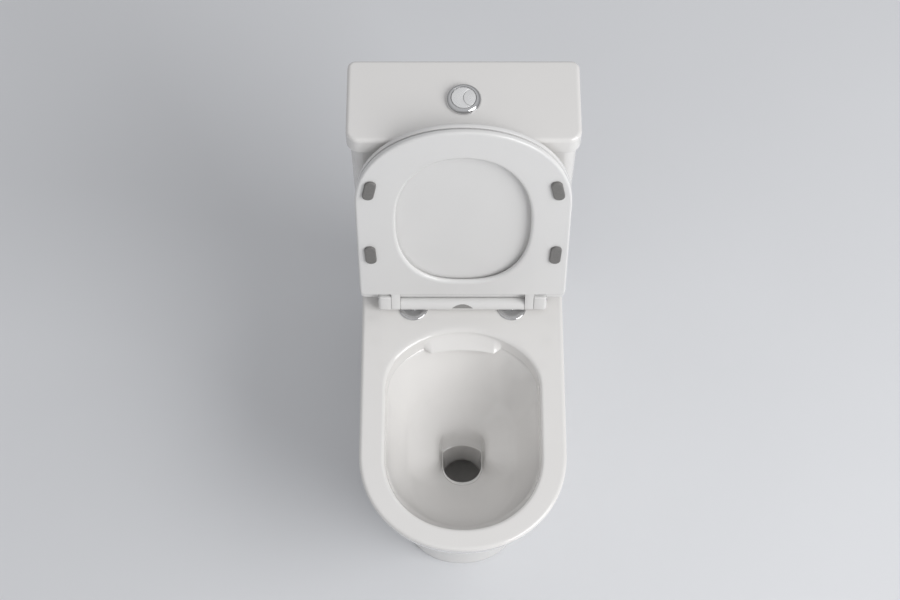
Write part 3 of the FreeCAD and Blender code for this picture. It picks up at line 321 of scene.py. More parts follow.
CERAMIC = material("glazed_ceramic", (0.79, 0.777, 0.76), 0.008, 9, 0.12, 0.03, 0.035, 38, coat=0.5,
                   coat_roughness=0.03)
PLASTIC = material("gloss_plastic", (0.775, 0.77, 0.762), 0.006, 14, 0.22, 0.03, 0.02, 90, coat=0.2,
                   coat_roughness=0.08)
CHROME = material("polished_chrome", (0.70, 0.70, 0.705), 0.02, 40, 0.1, 0.02, metallic=1.0)
SATIN_CHROME = material("satin_chrome", (0.90, 0.90, 0.90), 0.02, 60, 0.28, 0.04, 0.12, 1500, metallic=0.55)
RELEASE_GREY = material("release_grey", (0.30, 0.295, 0.285), 0.04, 60, 0.38, 0.05, 0.05, 700)
BUFFER_GREY = material("buffer_grey", (0.195, 0.19, 0.184), 0.10, 420, 0.62, 0.06, 0.35, 1300)
CLEAR_BUFFER = material("clear_buffer", (0.7, 0.7, 0.68), 0.03, 80, 0.4, 0.05, 0.1, 600)
RUBBER = material("black_rubber", (0.035, 0.035, 0.036), 0.15, 60, 0.7, 0.08, 0.3, 700)
STEEL = material("zinc_steel", (0.55, 0.555, 0.565), 0.08, 120, 0.33, 0.08, 0.1, 500, metallic=1.0)
VALVE_WHITE = material("valve_plastic", (0.72, 0.72, 0.7), 0.02, 30, 0.45, 0.06, 0.1, 400)
VALVE_BLUE = material("valve_blue", (0.04, 0.13, 0.36), 0.06, 30, 0.42, 0.06, 0.1, 400)
FLOAT_RED = material("float_red", (0.36, 0.028, 0.02), 0.06, 30, 0.42, 0.06, 0.1, 400)

FINISH = {
    "ceramic": CERAMIC, "seat_plastic": PLASTIC, "chrome": CHROME, "grey_buffer": RELEASE_GREY,
    "clear_buffer": CLEAR_BUFFER, "rubber": RUBBER, "steel": STEEL, "valve_plastic": VALVE_WHITE,
    "valve_blue": VALVE_BLUE, "float_red": FLOAT_RED,
}
slots = {part["node"]: part["material_slot"] for part in frame["record"]["subparts"]}
for node_name, node_object in frame["nodes"].items():
    node_object.data.materials.clear()
    node_object.data.materials.append(FINISH[slots[node_name]])
    smooth(node_object.data, 28)

# ---------------------------------------------------------------- pan

WALL = 12.0
DECK_UNDER = 388.0
TOP = RIM["high"]
LIP = TOP - 24
FOOT_HALF, FOOT_FRONT = 114.0, 574.0
# share of the height, and share of the way from the foot's half width and front to the rim's
SWELL = ((0.0, 0.0, 0.0), (0.12, 0.01, 0.02), (0.28, 0.03, 0.09), (0.45, 0.13, 0.24),
         (0.6, 0.34, 0.46), (0.74, 0.62, 0.69), (0.85, 0.81, 0.85), (0.93, 0.93, 0.945), (1.0, 1.0, 1.0))
# height, half width, rear, front, the corner's radius and set-in as shares of the half width, and how
# far the sides and rear are drawn in beside the well, as a share of the half width
BOWL = ((193.0, 34.8, 416.0, 488.5, 0.12, 0.42, 0.0), (193.6, 35.8, 415.4, 494.0, 0.13, 0.40, 0.01),
        (196.4, 37.0, 414.0, 495.6, 0.14, 0.38, 0.02), (203.0, 44.0, 410.0, 509.0, 0.18, 0.36, 0.15),
        (212.0, 53.0, 405.5, 524.0, 0.24, 0.38, 0.27), (220.0, 60.3, 401.5, 536.8, 0.32, 0.44, 0.33),
        (228.0, 67.0, 397.0, 548.8, 0.40, 0.50, 0.37), (238.0, 74.0, 389.0, 561.5, 0.46, 0.54, 0.36),
        (246.0, 79.0, 381.0, 571.0, 0.52, 0.60, 0.29), (256.0, 84.5, 371.0, 582.0, 0.56, 0.64, 0.18),
        (270.0, 91.5, 360.0, 595.5, 0.60, 0.69, 0.06), (284.0, 98.5, 349.0, 607.5, 0.64, 0.73, 0.01),
        (317.0, 113.0, 328.0, 629.0, 0.69, 0.79, 0.0), (350.0, 125.5, 310.0, 645.0, 0.709, 0.82, 0.0),
        (376.0, 133.5, 296.0, 654.5, 0.709, 0.82, 0.0))
WELL_STEPS = (200.0, 198.0, 197.0, 196.4, 195.7, 195.0, 194.3, 193.6, 193.3, 193.0)
# forward of the first the bowl isn't drawn in, and behind the second it is drawn in fully
DRAWN_IN_FROM, DRAWN_IN_TO = 508.0, 452.0
MOUTH_HALF, MOUTH_BACK, MOUTH_FRONT = 131.0, 294.0, 652.5
BOWL_CORNER, BOWL_SET_IN = 0.709, 0.82
BOWL_SHELL = 11.0
MOUTH_ROUNDING = 6.0
# the trap's path in the middle plane, as corners (back, z) that are rounded off
WELL_BACK = 452.0
OUTLET = (70.0, 187.0)
TRAP_CORNERS = ((WELL_BACK, 190), (WELL_BACK, 85), (330, 85), (262, 205), OUTLET)
TRAP_BEND = 52.0
TRAP_RADIUS, TRAP_OUTER = 35.0, 46.0
SPIGOT_BORE, SPIGOT_OUTER, SPIGOT_LENGTH = 42.0, 51.0, 60.0


def bowl_at(z, grow=0.0):
    """The bowl's outline at a height, drawn in beside the well unless it is grown."""
    *shape, drawn_in = between(BOWL, z)
    outline = bowl_outline(*shape, grow=grow)
    if not grow:
        share = np.clip((DRAWN_IN_FROM - outline[:, 1]) / (DRAWN_IN_FROM - DRAWN_IN_TO), 0, 1)
        outline[:, 0] *= 1 - drawn_in * share**2 * (3 - 2 * share)
    return outline


def outer_outline(z, inset=0.0, corner=3.0):
    """The pan's outside at a height, moved inward by inset."""
    wider, longer = between(SWELL, z / TOP)
    half = FOOT_HALF + (RIM["half"] - FOOT_HALF) * wider - inset
    front = FOOT_FRONT + (RIM["front"] - 0.25 - FOOT_FRONT) * longer - inset
    return skirt_outline(half, front, inset, corner)


def mouth_outline(grow):
    """The mouth's outline at the lip, moved outward by grow, more at the rear than at the sides."""
    return bowl_outline(MOUTH_HALF + grow, MOUTH_BACK - 1.9 * grow, MOUTH_FRONT + 1.3 * grow, BOWL_CORNER,
                        BOWL_SET_IN)


def spread(outline, reach_out=0.0):
    """Brings an outline's rear forward to the edge of the spreader over the flush outlet."""
    shaped = outline.copy()
    for point in shaped:
        x = abs(point[0])
        if point[1] > MOUTH_BACK + 60 or x > 90:
            continue
        edge = 314 + 7 * (min(x, 55) / 55) ** 2 - max(x - 55, 0) * 0.8 + reach_out
        point[1] = max(point[1], edge)
    return shaped


def tube_ring(outline, centre, direction):
    """An outline of (x, towards the rear) turned square to a direction in the middle plane."""
    forward, up = direction
    points = []
    for x, rear in outline:
        points.append((x, centre[0] + rear * up, centre[1] - rear * forward))
    return np.array(points)


def waterway():
    """Centres (back, z) and directions of the trap's path, from the well to the outlet."""
    corners = [np.array(corner, float) for corner in TRAP_CORNERS]
    path = [(corners[0], (corners[1] - corners[0]) / np.linalg.norm(corners[1] - corners[0]))]
    for before, corner, after in zip(corners, corners[1:], corners[2:]):
        inward = (corner - before) / np.linalg.norm(corner - before)
        onward = (after - corner) / np.linalg.norm(after - corner)
        turn = math.acos(float(inward @ onward))
        setback = TRAP_BEND * math.tan(turn / 2)
        enter, leave = corner - inward * setback, corner + onward * setback
        steps = max(4, int(turn / 0.16))
        for i in range(steps + 1):
            t = i / steps
            centre = (1 - t) ** 2 * enter + 2 * t * (1 - t) * corner + t**2 * leave
            heading = (1 - t) * inward + t * onward
            path.append((centre, heading / np.linalg.norm(heading)))
    return path


def round_ring(radius, half_outline_angles):
    """A circle with its points at the same angles as another outline's."""
    return np.column_stack([radius * np.sin(half_outline_angles), radius * np.cos(half_outline_angles)])


def pan_outside():
    """Rings up the outside from the foot, over the rim's rounded edge and onto the flat rim."""
    foot_top, body_top, edge = 4, TOP - 12, 7.5
    loops = [at_height(outer_outline(0, 1.5), 0)]
    for z in (0.6, 2.0, foot_top):
        loops.append(at_height(outer_outline(z, 0.8 if z < 1 else 0.0), z))
    for i in range(1, 37):
        z = foot_top + (body_top - foot_top) * i / 36
        loops.append(at_height(outer_outline(z), z))
    for i in range(0, 9):
        t = math.pi / 2 * i / 8
        z = TOP - edge + edge * math.sin(t)
        loops.append(at_height(outer_outline(z, edge * (1 - math.cos(t))), z))
    loops.append(at_height(outer_outline(TOP, edge + 2.0), TOP))
    return loops


def pan_mouth():
    """Rings from the flat rim, rounded into the mouth, down the lip's wall and under its lower edge."""
    loops = []
    for grow in (3 + 8, 3 + MOUTH_ROUNDING):
        loops.append(at_height(mouth_outline(grow), TOP))
    for i in range(1, 9):
        t = math.pi / 2 * i / 8
        grow = 3 + MOUTH_ROUNDING * (1 - math.sin(t))
        loops.append(at_height(mouth_outline(grow), TOP - MOUTH_ROUNDING * (1 - math.cos(t))))
    upper, plain, lower = mouth_outline(3), mouth_outline(0), spread(mouth_outline(0))
    drop = TOP - MOUTH_ROUNDING - LIP
    for share in (0.06, 0.2, 0.35, 0.5, 0.65, 0.8, 0.9, 0.96):
        wall = upper + (plain - upper) * share + (lower - plain) * share**1.5
        loops.append(at_height(wall, TOP - MOUTH_ROUNDING - drop * share))
    for grow, reach_out, below in ((0.3, -0.6, 0.5), (1.0, -2.2, 0.9), (1.8, -6.0, 0.7)):
        loops.append(at_height(spread(mouth_outline(grow), reach_out), LIP - below))
    return loops


def pan_waterway():
    """Rings down the bowl into the well, through the trap and out, and back over the outside of both."""
    loops = []
    bowl_top, bowl_bottom = 376, 203
    for i in range(41):
        z = bowl_top - (bowl_top - bowl_bottom) * i / 40
        loops.append(at_height(bowl_at(z), z))
    for z in WELL_STEPS:
        loops.append(at_height(bowl_at(z), z))

    # the rings turn from the well's outline to a circle
    well = bowl_at(WELL_STEPS[-1])
    local = well * (1, -1) + (0, WELL_BACK)
    angles = np.arctan2(local[:, 0], local[:, 1])
    circle = round_ring(TRAP_RADIUS, angles)
    path = waterway()
    loops.append(np.column_stack([well * (0.985, 1) + (0, 0.3), np.full(len(well), 190.5)]))
    for share, z in ((0.15, 184.0), (0.5, 168.0), (0.85, 152.0), (1.0, 140.0)):
        ring = local + (circle - local) * share
        loops.append(tube_ring(ring, (WELL_BACK, z), (0, -1)))
    for centre, heading in path[1:]:
        loops.append(tube_ring(circle, centre, heading))

    # the spigot's socket inside, and its outside
    outlet, end = path[-1][1], np.array(OUTLET)
    loops.append(tube_ring(circle, end - outlet * 42, outlet))
    for radius, setback in ((41.0, 40.5), (SPIGOT_BORE, 39.5), (SPIGOT_BORE, 2.0), (44.0, 0.0),
                            (49.0, 0.0), (SPIGOT_OUTER, 2.0), (SPIGOT_OUTER, SPIGOT_LENGTH),
                            (49.0, SPIGOT_LENGTH + 2)):
        loops.append(tube_ring(round_ring(radius, angles), end - outlet * setback, (-1, 0)))

    # the outside of the trap, from the spigot back to the bowl
    outer = round_ring(TRAP_OUTER, angles)
    for centre, heading in reversed(path[1:]):
        if centre[0] > 140:
            loops.append(tube_ring(outer, centre, heading))
    for z in (140.0, 180.0):
        loops.append(tube_ring(outer, (WELL_BACK, z), (0, -1)))
    for i in range(0, 12):
        z = 196 + (bowl_top - 196) * i / 11
        loops.append(at_height(bowl_at(z, BOWL_SHELL), z))
    return loops


def pan_inside():
    """Rings over the underside of the deck and down the inside of the skirt to the foot."""
    loops = [at_height(bowl_at(376, BOWL_SHELL + 1), DECK_UNDER - 1),
             at_height(bowl_at(376, BOWL_SHELL + 2), DECK_UNDER),
             at_height(outer_outline(DECK_UNDER, WALL + 2, 2.0), DECK_UNDER)]
    for i in range(0, 21):
        z = (DECK_UNDER - 2) * (1 - i / 20) + 1.5 * i / 20
        loops.append(at_height(outer_outline(z, WALL, 2.0), z))
    loops.append(at_height(outer_outline(0, WALL - 1.5, 2.0), 0))
    return loops


def make_pan():
    return skin(pan_outside() + pan_mouth() + pan_waterway() + pan_inside(), closed=True)


def slot_box(half, back, front, low, high):
    """A square-cornered block, widths either side of the middle."""
    corners = [(-half, back), (half, back), (half, front), (-half, front)]
    return skin([[(x, b, z) for x, b in corners] for z in (low, high)])


CLEAR = 0.6  # what the rear opening leaves standing inside the skirt's walls


def rear_opening():
    """The open back of the skirt, from the floor to just under the deck."""
    loops = []
    for z in np.linspace(-20, DECK_UNDER - 2, 14):
        wider, longer = between(SWELL, max(z, 0) / TOP)
        half = FOOT_HALF + (RIM["half"] - FOOT_HALF) * wider - WALL - CLEAR
        loops.append([(-half, -20, z), (half, -20, z), (half, 40, z), (-half, 40, z)])
    return skin(loops)


def cut_away(obj, shells):
    """Cuts closed shells out of a piece."""
    cutter = solid("cutter", shells, CERAMIC, "", ())
    cut = obj.modifiers.new("openings", "BOOLEAN")
    cut.operation = "DIFFERENCE"
    cut.solver = "EXACT"
    cut.object = cutter
    evaluated = obj.evaluated_get(bpy.context.evaluated_depsgraph_get())
    mesh = bpy.data.meshes.new_from_object(evaluated)
    obj.modifiers.remove(cut)
    bpy.data.objects.remove(cutter)
    obj.data = mesh
    smooth(mesh)


pan = solid("pan_ceramic", [make_pan()], CERAMIC, "base",
            ["pan_rim", "pan_skirt", "pan_bowl", "pan_trapway"])
VALVE_BACK, INLET_ACROSS = 78.0, 125.0
THROAT_RADIUS, INLET_HOLE_RADIUS = 32, 24


def deck_hole(radius, across):
    """A cutter for a round hole through the deck, on the line of the valves."""
    return lathe([(radius, DECK_UNDER - 4), (radius, TOP + 4)], (across, VALVE_BACK, 0))


duct_mouth = slot_box(half=45, back=250, front=311, low=364, high=373)
cut_away(pan, [rear_opening(), deck_hole(THROAT_RADIUS, 0), deck_hole(INLET_HOLE_RADIUS, INLET_ACROSS),
               duct_mouth])

# ---------------------------------------------------------------- cistern and its lid


def box_outline(half, back, front, rear_radius, front_radius, inset=0.0):
    """A rounded rectangle moved inward by inset."""
    half, back, front = half - inset, back + inset, front - inset
    rear_radius, front_radius = max(rear_radius - inset, 0.4), max(front_radius - inset, 0.4)
    points = [((half - rear_radius) * i / 10, back) for i in range(11)]
    points += bend((half - rear_radius, back + rear_radius), rear_radius, -90, 0, 10)
    points += run(points[-1], (half, front - front_radius), 8)
    points += bend((half - front_radius, front - front_radius), front_radius, 0, 90, 12)
    points += run(points[-1], (0, front), 10)
    return whole(points)


def make_cistern():
    lean = math.tan(math.radians(0.5))
    low, high, wall = TANK["low"], TANK["high"], 10.0
    foot, inner_floor = 8.0, low + 12.0

    def ring(inset, z):
        inset += (high - z) * lean
        return at_height(box_outline(TANK["half"], TANK["back"], TANK["front"], 14, 24, inset), z)

    levels = [(foot + 40, low), (foot + 4, low), (foot, low)]
    levels += quarter((foot, low), (0, low + foot), (0, low), 7)
    levels += [(0, low + foot + 3)]
    levels += [(0, low + (high - low) * share) for share in (0.2, 0.4, 0.6, 0.8, 0.97)]
    levels += [(0, high - 1.5)]
    levels += quarter((0, high - 1.5), (1.5, high), (0, high), 4)
    levels += [(wall - 1.5, high)]
    levels += quarter((wall - 1.5, high), (wall, high - 1.5), (wall, high), 4)
    levels += [(wall, inner_floor + 9), (wall, inner_floor + 6)]
    levels += quarter((wall, inner_floor + 6), (wall + 6, inner_floor), (wall, inner_floor), 4)
    levels += [(wall + 9, inner_floor), (wall + 40, inner_floor)]
    return skin([ring(inset, z) for inset, z in levels])


def make_cistern_lid():
    low, high = TANK_LID["low"], TANK_LID["high"]
    ceiling, recess, edge = high - 10, 21.0, 6.5
    levels = [(recess + 30, ceiling), (recess + 4, ceiling), (recess + 1, ceiling)]
    levels += quarter((recess + 1, ceiling), (recess, ceiling - 1), (recess, ceiling), 3)
    levels += [(recess, low + 2), (recess, low + 0.8)]
    levels += quarter((recess, low + 0.8), (recess - 0.8, low), (recess, low), 3)
    levels += [(recess - 2, low), (3, low), (1.8, low)]
    levels += quarter((1.8, low), (0, low + 1.8), (0, low), 4)
    levels += [(0, low + 3.5), (0, high - edge - 2), (0, high - edge)]
    levels += quarter((0, high - edge), (edge, high), (0, high), 9)
    levels += [(edge + 2.5, high), (edge + 30, high)]
    rings = []
    for inset, z in levels:
        outline = box_outline(TANK_LID["half"], TANK_LID["back"], TANK_LID["front"], 14, 22, inset)
        rings.append(at_height(outline, z))
    return skin(rings)


solid("cistern_ceramic", [make_cistern()], CERAMIC, "base", ["cistern"])
solid("cistern_lid_ceramic", [make_cistern_lid()], CERAMIC, "base", ["cistern_lid"])

# ---------------------------------------------------------------- seat and lid

# Points made here are (x, forward, up) from the hinge axis with the piece closed, and then raised.


def raised(rings):
    """Rings of closed (x, forward, up) points turned to the raised place, as (x, back, z)."""
    turned = []
    for ring in rings:
        x, forward, up = np.asarray(ring, float).T
        back = AXIS_BACK + forward * math.cos(RAISED) - up * math.sin(RAISED)
        z = AXIS_Z + forward * math.sin(RAISED) + up * math.cos(RAISED)
        turned.append(np.column_stack([x, back, z]))
    return turned


SEAT_HALF, SEAT_REAR, SEAT_FRONT = 179.0, 36.0, 458.0
HOLE_HALF, HOLE_REAR, HOLE_FRONT = 113.0, 74.0, 394.0
HOLE_REAR_POWER, HOLE_FRONT_POWER = 2.5, 2.22  # 2 would be an ellipse, and more is squarer
SEAT_UNDER, SEAT_TOP = -11.0, -0.2
COVER_UNDER, COVER_TOP = 2.4, 12.0
COVER_HALF, COVER_REAR, COVER_FRONT = SEAT_HALF - 0.5, 14.0, SEAT_FRONT - 1


def seat_outline(inset=0.0):
    return skirt_outline(SEAT_HALF - inset, SEAT_FRONT - inset, SEAT_REAR + inset, 10 - min(inset, 8))


def cover_outline(inset=0.0):
    return skirt_outline(COVER_HALF - inset, COVER_FRONT - inset, COVER_REAR + inset, 10 - min(inset, 8))


def hole_outline(grow):
    """The seat's hole, each point in line with the same point of the seat's outline."""
    middle, half_length = (HOLE_REAR + HOLE_FRONT) / 2, (HOLE_FRONT - HOLE_REAR) / 2
    points = []
    for x, forward in seat_outline():
        angle = math.atan2(forward - middle, x)
        power = HOLE_FRONT_POWER if forward > middle else HOLE_REAR_POWER
        across = abs(math.cos(angle)) / (HOLE_HALF + grow)
        along = abs(math.sin(angle)) / (half_length + grow)
        length = (across**power + along**power) ** (-1 / power)
        points.append((length * math.cos(angle), middle + length * math.sin(angle)))
    return np.array(points)


def make_seat():
    under, top = SEAT_UNDER, SEAT_TOP
    levels = [(6, under), (4, under)]
    levels += quarter((4, under), (0, under + 4), (0, under), 7)
    levels += [(0, top - 3.5)]
    levels += quarter((0, top - 3.5), (3.5, top), (0, top), 6)
    levels += [(6, top)]
    rings = [at_height(seat_outline(inset), up) for inset, up in levels]
    levels = [(9.5, top), (7, top)]
    levels += quarter((7, top), (0, top - 6), (0, top), 7)
    levels += [(0, under + 4.5)]
    levels += quarter((0, under + 4.5), (6, under), (0, under), 7)
    levels += [(8.5, under)]
    rings += [at_height(hole_outline(grow), up) for grow, up in levels]
    return skin(raised(rings), closed=True)


def make_cover():
    under, top, crown = COVER_UNDER, COVER_TOP, 0.7
    levels = [(30, under), (4, under), (0.8, under)]
    levels += quarter((0.8, under), (0, under + 0.8), (0, under), 3)
    levels += [(0, top - crown - 3)]
    levels += quarter((0, top - crown - 3), (3, top - crown), (0, top - crown), 7)
    levels += [(7, top - crown + 0.05)]
    rings = [at_height(cover_outline(inset), up) for inset, up in levels]
    centre = np.array((0, (COVER_REAR + SEAT_FRONT) / 2))
    rim = cover_outline(7)
    for share in (0.85, 0.6, 0.3):
        rings.append(at_height(centre + (rim - centre) * share, top - crown * share**2))
    return skin(raised(rings))


def inset_outline(outline, inset):
    """An outline moved inward along its normals."""
    before, after = np.roll(outline, 1, axis=0), np.roll(outline, -1, axis=0)
    along = after - before
    along /= np.linalg.norm(along, axis=1)[:, None]
    inward = np.column_stack([-along[:, 1], along[:, 0]])
    return outline + inward * inset


def mirrored(shell):
    """The same shell on the other side of the middle plane."""
    points, faces = shell
    return [(-x, back, z) for x, back, z in points], faces


KNUCKLE = 12.0
SEAT_ARM_REACH, LID_ARM_REACH = 42.0, 30.0


def arm(inner, outer, rounding, forward, under, top):
    """A knuckle around the hinge pin that runs into a flat arm; its outer end is rounded."""
    first = math.degrees(math.asin(top / KNUCKLE))
    last = 360 + math.degrees(math.asin(under / KNUCKLE))
    outline = [(forward, under + 1.2), (forward, top)]
    for i in range(49):
        angle = math.radians(first + (last - first) * i / 48)
        outline.append((KNUCKLE * math.cos(angle), KNUCKLE * math.sin(angle)))
    outline.append((forward - 1.2, under))
    levels = [(0.5, inner), (0.15, inner + 0.15), (0, inner + 0.5), (0, outer - rounding)]
    levels += quarter((0, outer - rounding), (rounding, outer), (0, outer), 7)
    rings = []
    for inset, x in levels:
        ring = inset_outline(np.array(outline), inset)
        rings.append([(x, a, b) for a, b in ring])
    return skin(raised(rings))


solid("seat_ring_moulding", [make_seat()], PLASTIC, "seat", ["seat_ring"])
solid("seat_lid_moulding", [make_cover()], PLASTIC, "lid", ["seat_lid"])
seat_arm = arm(109.2, 124.7, 0.6, SEAT_ARM_REACH, SEAT_UNDER + 0.02, SEAT_TOP - 0.02)
lid_arm = arm(125.3, 148.0, 6.0, LID_ARM_REACH, -KNUCKLE, 4.7)
for side in ("left", "right"):
    seat_shell = mirrored(seat_arm) if side == "left" else seat_arm
    lid_shell = mirrored(lid_arm) if side == "left" else lid_arm
    solid(f"seat_knuckle_{side}", [seat_shell], PLASTIC, "seat", [f"seat_hinge_arm_{side}"])
    solid(f"lid_knuckle_{side}", [lid_shell], PLASTIC, "lid", [f"lid_hinge_arm_{side}"])


def pad_shell(x, forward, lean):
    """A seat buffer: a flat pad with round ends and a softened edge."""
    half, half_length, edge = 9.5, 22.0, 1.5
    face = SEAT_UNDER - 4.6
    levels = [(0.4, SEAT_UNDER + 0.5), (0, SEAT_UNDER - 0.4), (0, face + edge)]
    levels += quarter((0, face + edge), (edge, face), (0, face), 4)
    levels += [(edge + 1.2, face)]
    turn = math.radians(lean)
    rings = []
    for inset, up in levels:
        ring = []
        for end in (1, -1):
            for i in range(17):
                angle = math.pi * i / 16
                a = (half - inset) * math.cos(angle) * end
                b = end * (half_length - half + (half - inset) * math.sin(angle))
                ring.append((x + a * math.cos(turn) + b * math.sin(turn),
                             forward - a * math.sin(turn) + b * math.cos(turn), up))
        rings.append(ring)
    return skin(raised(rings))


pads = []
# distance from the middle, distance forward of the hinge, degrees that the pad leans
for x, forward, lean in ((154, 320, -11), (157, 152, 3)):
    right_pad = pad_shell(x, forward, lean)
    pads += [right_pad, mirrored(right_pad)]
solid("seat_buffers", pads, BUFFER_GREY, "seat", ["seat_bumpers"])

# ---------------------------------------------------------------- chrome discs under the hinge bar

for side, x in (("left", -87.0), ("right", 87.0)):
    profile = [(3.5, 8), (4.6, 8), (5, 7.6), (5, 1.2), (5.6, 0.6), (10, 0.5), (12, 0.75), (14, 1.35),
               (16, 2.05), (18, 2.65), (20, 3.05), (21.4, 3.15), (22.0, 2.95), (22.4, 2.85), (22.8, 2.95),
               (23.6, 3.1), (24.6, 2.8)]
    profile += quarter((24.6, 2.8), (26, 0.9), (25.8, 2.5), 5)
    profile += [(26, 0.3), (25.8, 0), (24, 0)]
    disc = lathe(profile, (x, AXIS_BACK + 1, TOP), count=96)
    solid(f"hinge_disc_{side}", [disc], CHROME, "base", [f"{side}_hinge_base"])

# ---------------------------------------------------------------- flush buttons

BUTTONS_BACK = (BEZEL["back"] + BEZEL["front"]) / 2
PLATE = TANK_LID["high"]
BUTTON_RADIUS, ARC_CENTRE, ARC_RADIUS = 20.2, 15.5, 16.0

bezel_profile = [(21.2, -30), (23.4, -30), (23.4, 0.4), (27, 0.4), (28.4, 0), (28.8, 0.1), (29, 0.5),
                 (29, 1.6), (28.8, 2.6), (28.2, 4.1), (27.2, 5.5), (25.9, 6.7), (24.4, 7.6), (22.9, 8.1),
                 (21.9, 8.1), (21.2, 7.8), (20.8, 7.2), (20.7, 6.4), (20.7, 3), (20.7, -28)]
points, faces = lathe(bezel_profile, (0, BUTTONS_BACK, PLATE), count=128)
faces = faces[:-2]
last = (len(bezel_profile) - 1) * 128
faces += [(i, (i + 1) % 128, last + (i + 1) % 128, last + i) for i in range(128)]
solid("button_bezel_ring", [(points, faces)], CHROME, "base", ["button_bezel"])


def arc_points(centre, radius, start, stop, count):
    angles = np.radians(np.linspace(start, stop, count))
    return [(centre + radius * math.cos(a), radius * math.sin(a)) for a in angles]


def ladder(loops):
    """A shell through rings made of two facing arcs, its ends closed by rungs between the arcs."""
    points, faces = skin(loops)
    count = len(loops[0])
    faces = faces[:-2]
    for first in (0, (len(loops) - 1) * count):
        for i in range(count // 2 - 1):
            j = count - 1 - i
            faces.append((first + i, first + i + 1, first + j - 1, first + j))
    return points, faces


def button_shells(outline, rod_x):
    """A button's cap, with a softened edge, and its push rod."""
    levels = [(0, 1.5), (0, 6.6), (0.25, 7.2), (0.7, 7.5), (1.2, 7.6)]
    rings = []
    for inset, up in levels:
        ring = inset_outline(outline, inset)
        rings.append([(x, BUTTONS_BACK - y, PLATE + up) for x, y in ring])
    rod = lathe([(2.8, -89.5), (3.5, -88.8), (3.5, 2), (2.8, 2.2)], (rod_x, BUTTONS_BACK, PLATE), count=32)
    return [ladder(rings), rod]


HALF_TURN, ARC_TURN, ARC_STEPS = 50.0, 101.5, 64
lens = arc_points(0, BUTTON_RADIUS, -HALF_TURN, HALF_TURN, ARC_STEPS)
lens += arc_points(ARC_CENTRE, ARC_RADIUS, ARC_TURN, 360 - ARC_TURN, ARC_STEPS)
crescent = arc_points(0, BUTTON_RADIUS, 53.5, 306.5, ARC_STEPS)
crescent += arc_points(ARC_CENTRE, ARC_RADIUS + 0.35, 257.5, 102.5, ARC_STEPS)
solid("half_button_cap", button_shells(np.array(lens), 10), SATIN_CHROME, "half_button",
      ["half_flush_button"])
solid("full_button_cap", button_shells(np.array(crescent), -9), SATIN_CHROME, "full_button",
      ["full_flush_button"])

# ---------------------------------------------------------------- covers over the fixing screws

caps = []
for sign in (-1, 1):
    profile = [(7, 0), (9.3, 0), (9.5, 0.3), (9.5, 2.6), (9.2, 3.4), (8.4, 4.1), (6.5, 4.7), (3.5, 5)]
    profile = [(radius, sign * (FOOT_HALF + 0.9 + along)) for radius, along in profile]
    caps.append(lathe(profile, (0, 150, 38), "x", 48))
solid("fixing_covers", caps, PLASTIC, "base", ["screw_caps"])

# ---------------------------------------------------------------- return springs

SPRING_TURNS, SPRING_STEPS = 8, 20
WIRE_RADIUS = 0.6


def coil(centre, low, high, outer):
    """A wire wound into a helix between two heights; centre is (x, back)."""
    winding = outer - WIRE_RADIUS
    steps = SPRING_TURNS * SPRING_STEPS
    rings = []
    for i in range(steps + 1):
        turn = 2 * math.pi * SPRING_TURNS * i / steps
        z = low + WIRE_RADIUS + (high - low - 2 * WIRE_RADIUS) * i / steps
        ring = []
        for k in range(10):
            around = 2 * math.pi * k / 10
            distance = winding + WIRE_RADIUS * math.cos(around)
            ring.append((centre[0] + distance * math.cos(turn), centre[1] + distance * math.sin(turn),
                         z + WIRE_RADIUS * math.sin(around)))
        rings.append(ring)
    return skin(rings)


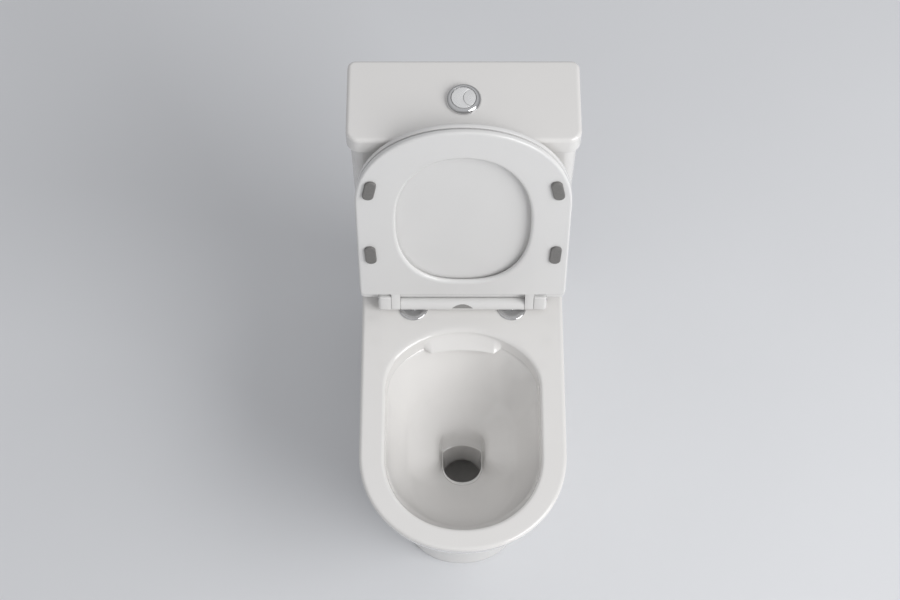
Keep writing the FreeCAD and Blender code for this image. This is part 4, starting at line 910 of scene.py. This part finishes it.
for button in ("full", "half"):
    sleeve = f"{button}_flush_spring"
    low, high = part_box(sleeve)
    middle = (low + high) / 2
    centre = (middle.x / MM, BACK_PLANE - middle.y / MM)
    shell = coil(centre, low.z / MM, high.z / MM, (high.x - low.x) / 2 / MM)
    spring = solid(f"{button}_return_spring", [shell], STEEL, "", ())
    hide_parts(sleeve)
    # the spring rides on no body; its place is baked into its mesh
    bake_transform(spring)

# ---------------------------------------------------------------- floor and light

floor_mesh = bpy.data.meshes.new("floor")
floor_mesh.from_pydata([(-9, -9, 0), (9, -9, 0), (9, 9, 0), (-9, 9, 0)], [], [(0, 1, 2, 3)])
floor = bpy.data.objects.new("floor", floor_mesh)
floor.location.z = -0.0005
bpy.context.scene.collection.objects.link(floor)
floor_mesh.materials.append(material("floor", (0.72, 0.73, 0.75), 0.01, 2, 0.55, 0.04))

# the studio's sky, brighter overhead than at the horizon
SKY_TINT = (0.975, 0.98, 1.0)
SKY_LOW, SKY_HIGH = 0.266, 0.595

world = bpy.data.worlds.new("studio")
world.use_nodes = True
sky, sky_links = world.node_tree.nodes, world.node_tree.links
sky_place = sky.new("ShaderNodeTexCoord")
split = sky.new("ShaderNodeSeparateXYZ")
fade = sky.new("ShaderNodeValToRGB")
fade.color_ramp.elements[0].position = 0.05
fade.color_ramp.elements[0].color = (*[SKY_LOW * c for c in SKY_TINT], 1)
fade.color_ramp.elements[1].position = 0.85
fade.color_ramp.elements[1].color = (*[SKY_HIGH * c for c in SKY_TINT], 1)
sky_links.new(sky_place.outputs["Generated"], split.inputs["Vector"])
sky_links.new(split.outputs["Z"], fade.inputs["Fac"])
sky_links.new(fade.outputs["Color"], sky["Background"].inputs["Color"])
bpy.context.scene.world = world


def soft_light(name, place, aim, size, watts):
    """A round area lamp, pointed at a place."""
    data = bpy.data.lights.new(name, "AREA")
    data.shape = "DISK"
    data.size = size
    data.energy = watts
    lamp = bpy.data.objects.new(name, data)
    lamp.location = place
    towards = Vector(aim) - Vector(place)
    lamp.rotation_euler = towards.to_track_quat("-Z", "Y").to_euler()
    bpy.context.scene.collection.objects.link(lamp)


soft_light("key", (3.0, -2.0, 3.0), (0, 0, 0.4), 3.3, 134)
soft_light("front_fill", (-1.5, -3.4, 2.2), (0, 0, 0.4), 2.4, 4)
bpy.context.scene.view_settings.view_transform = "Standard"
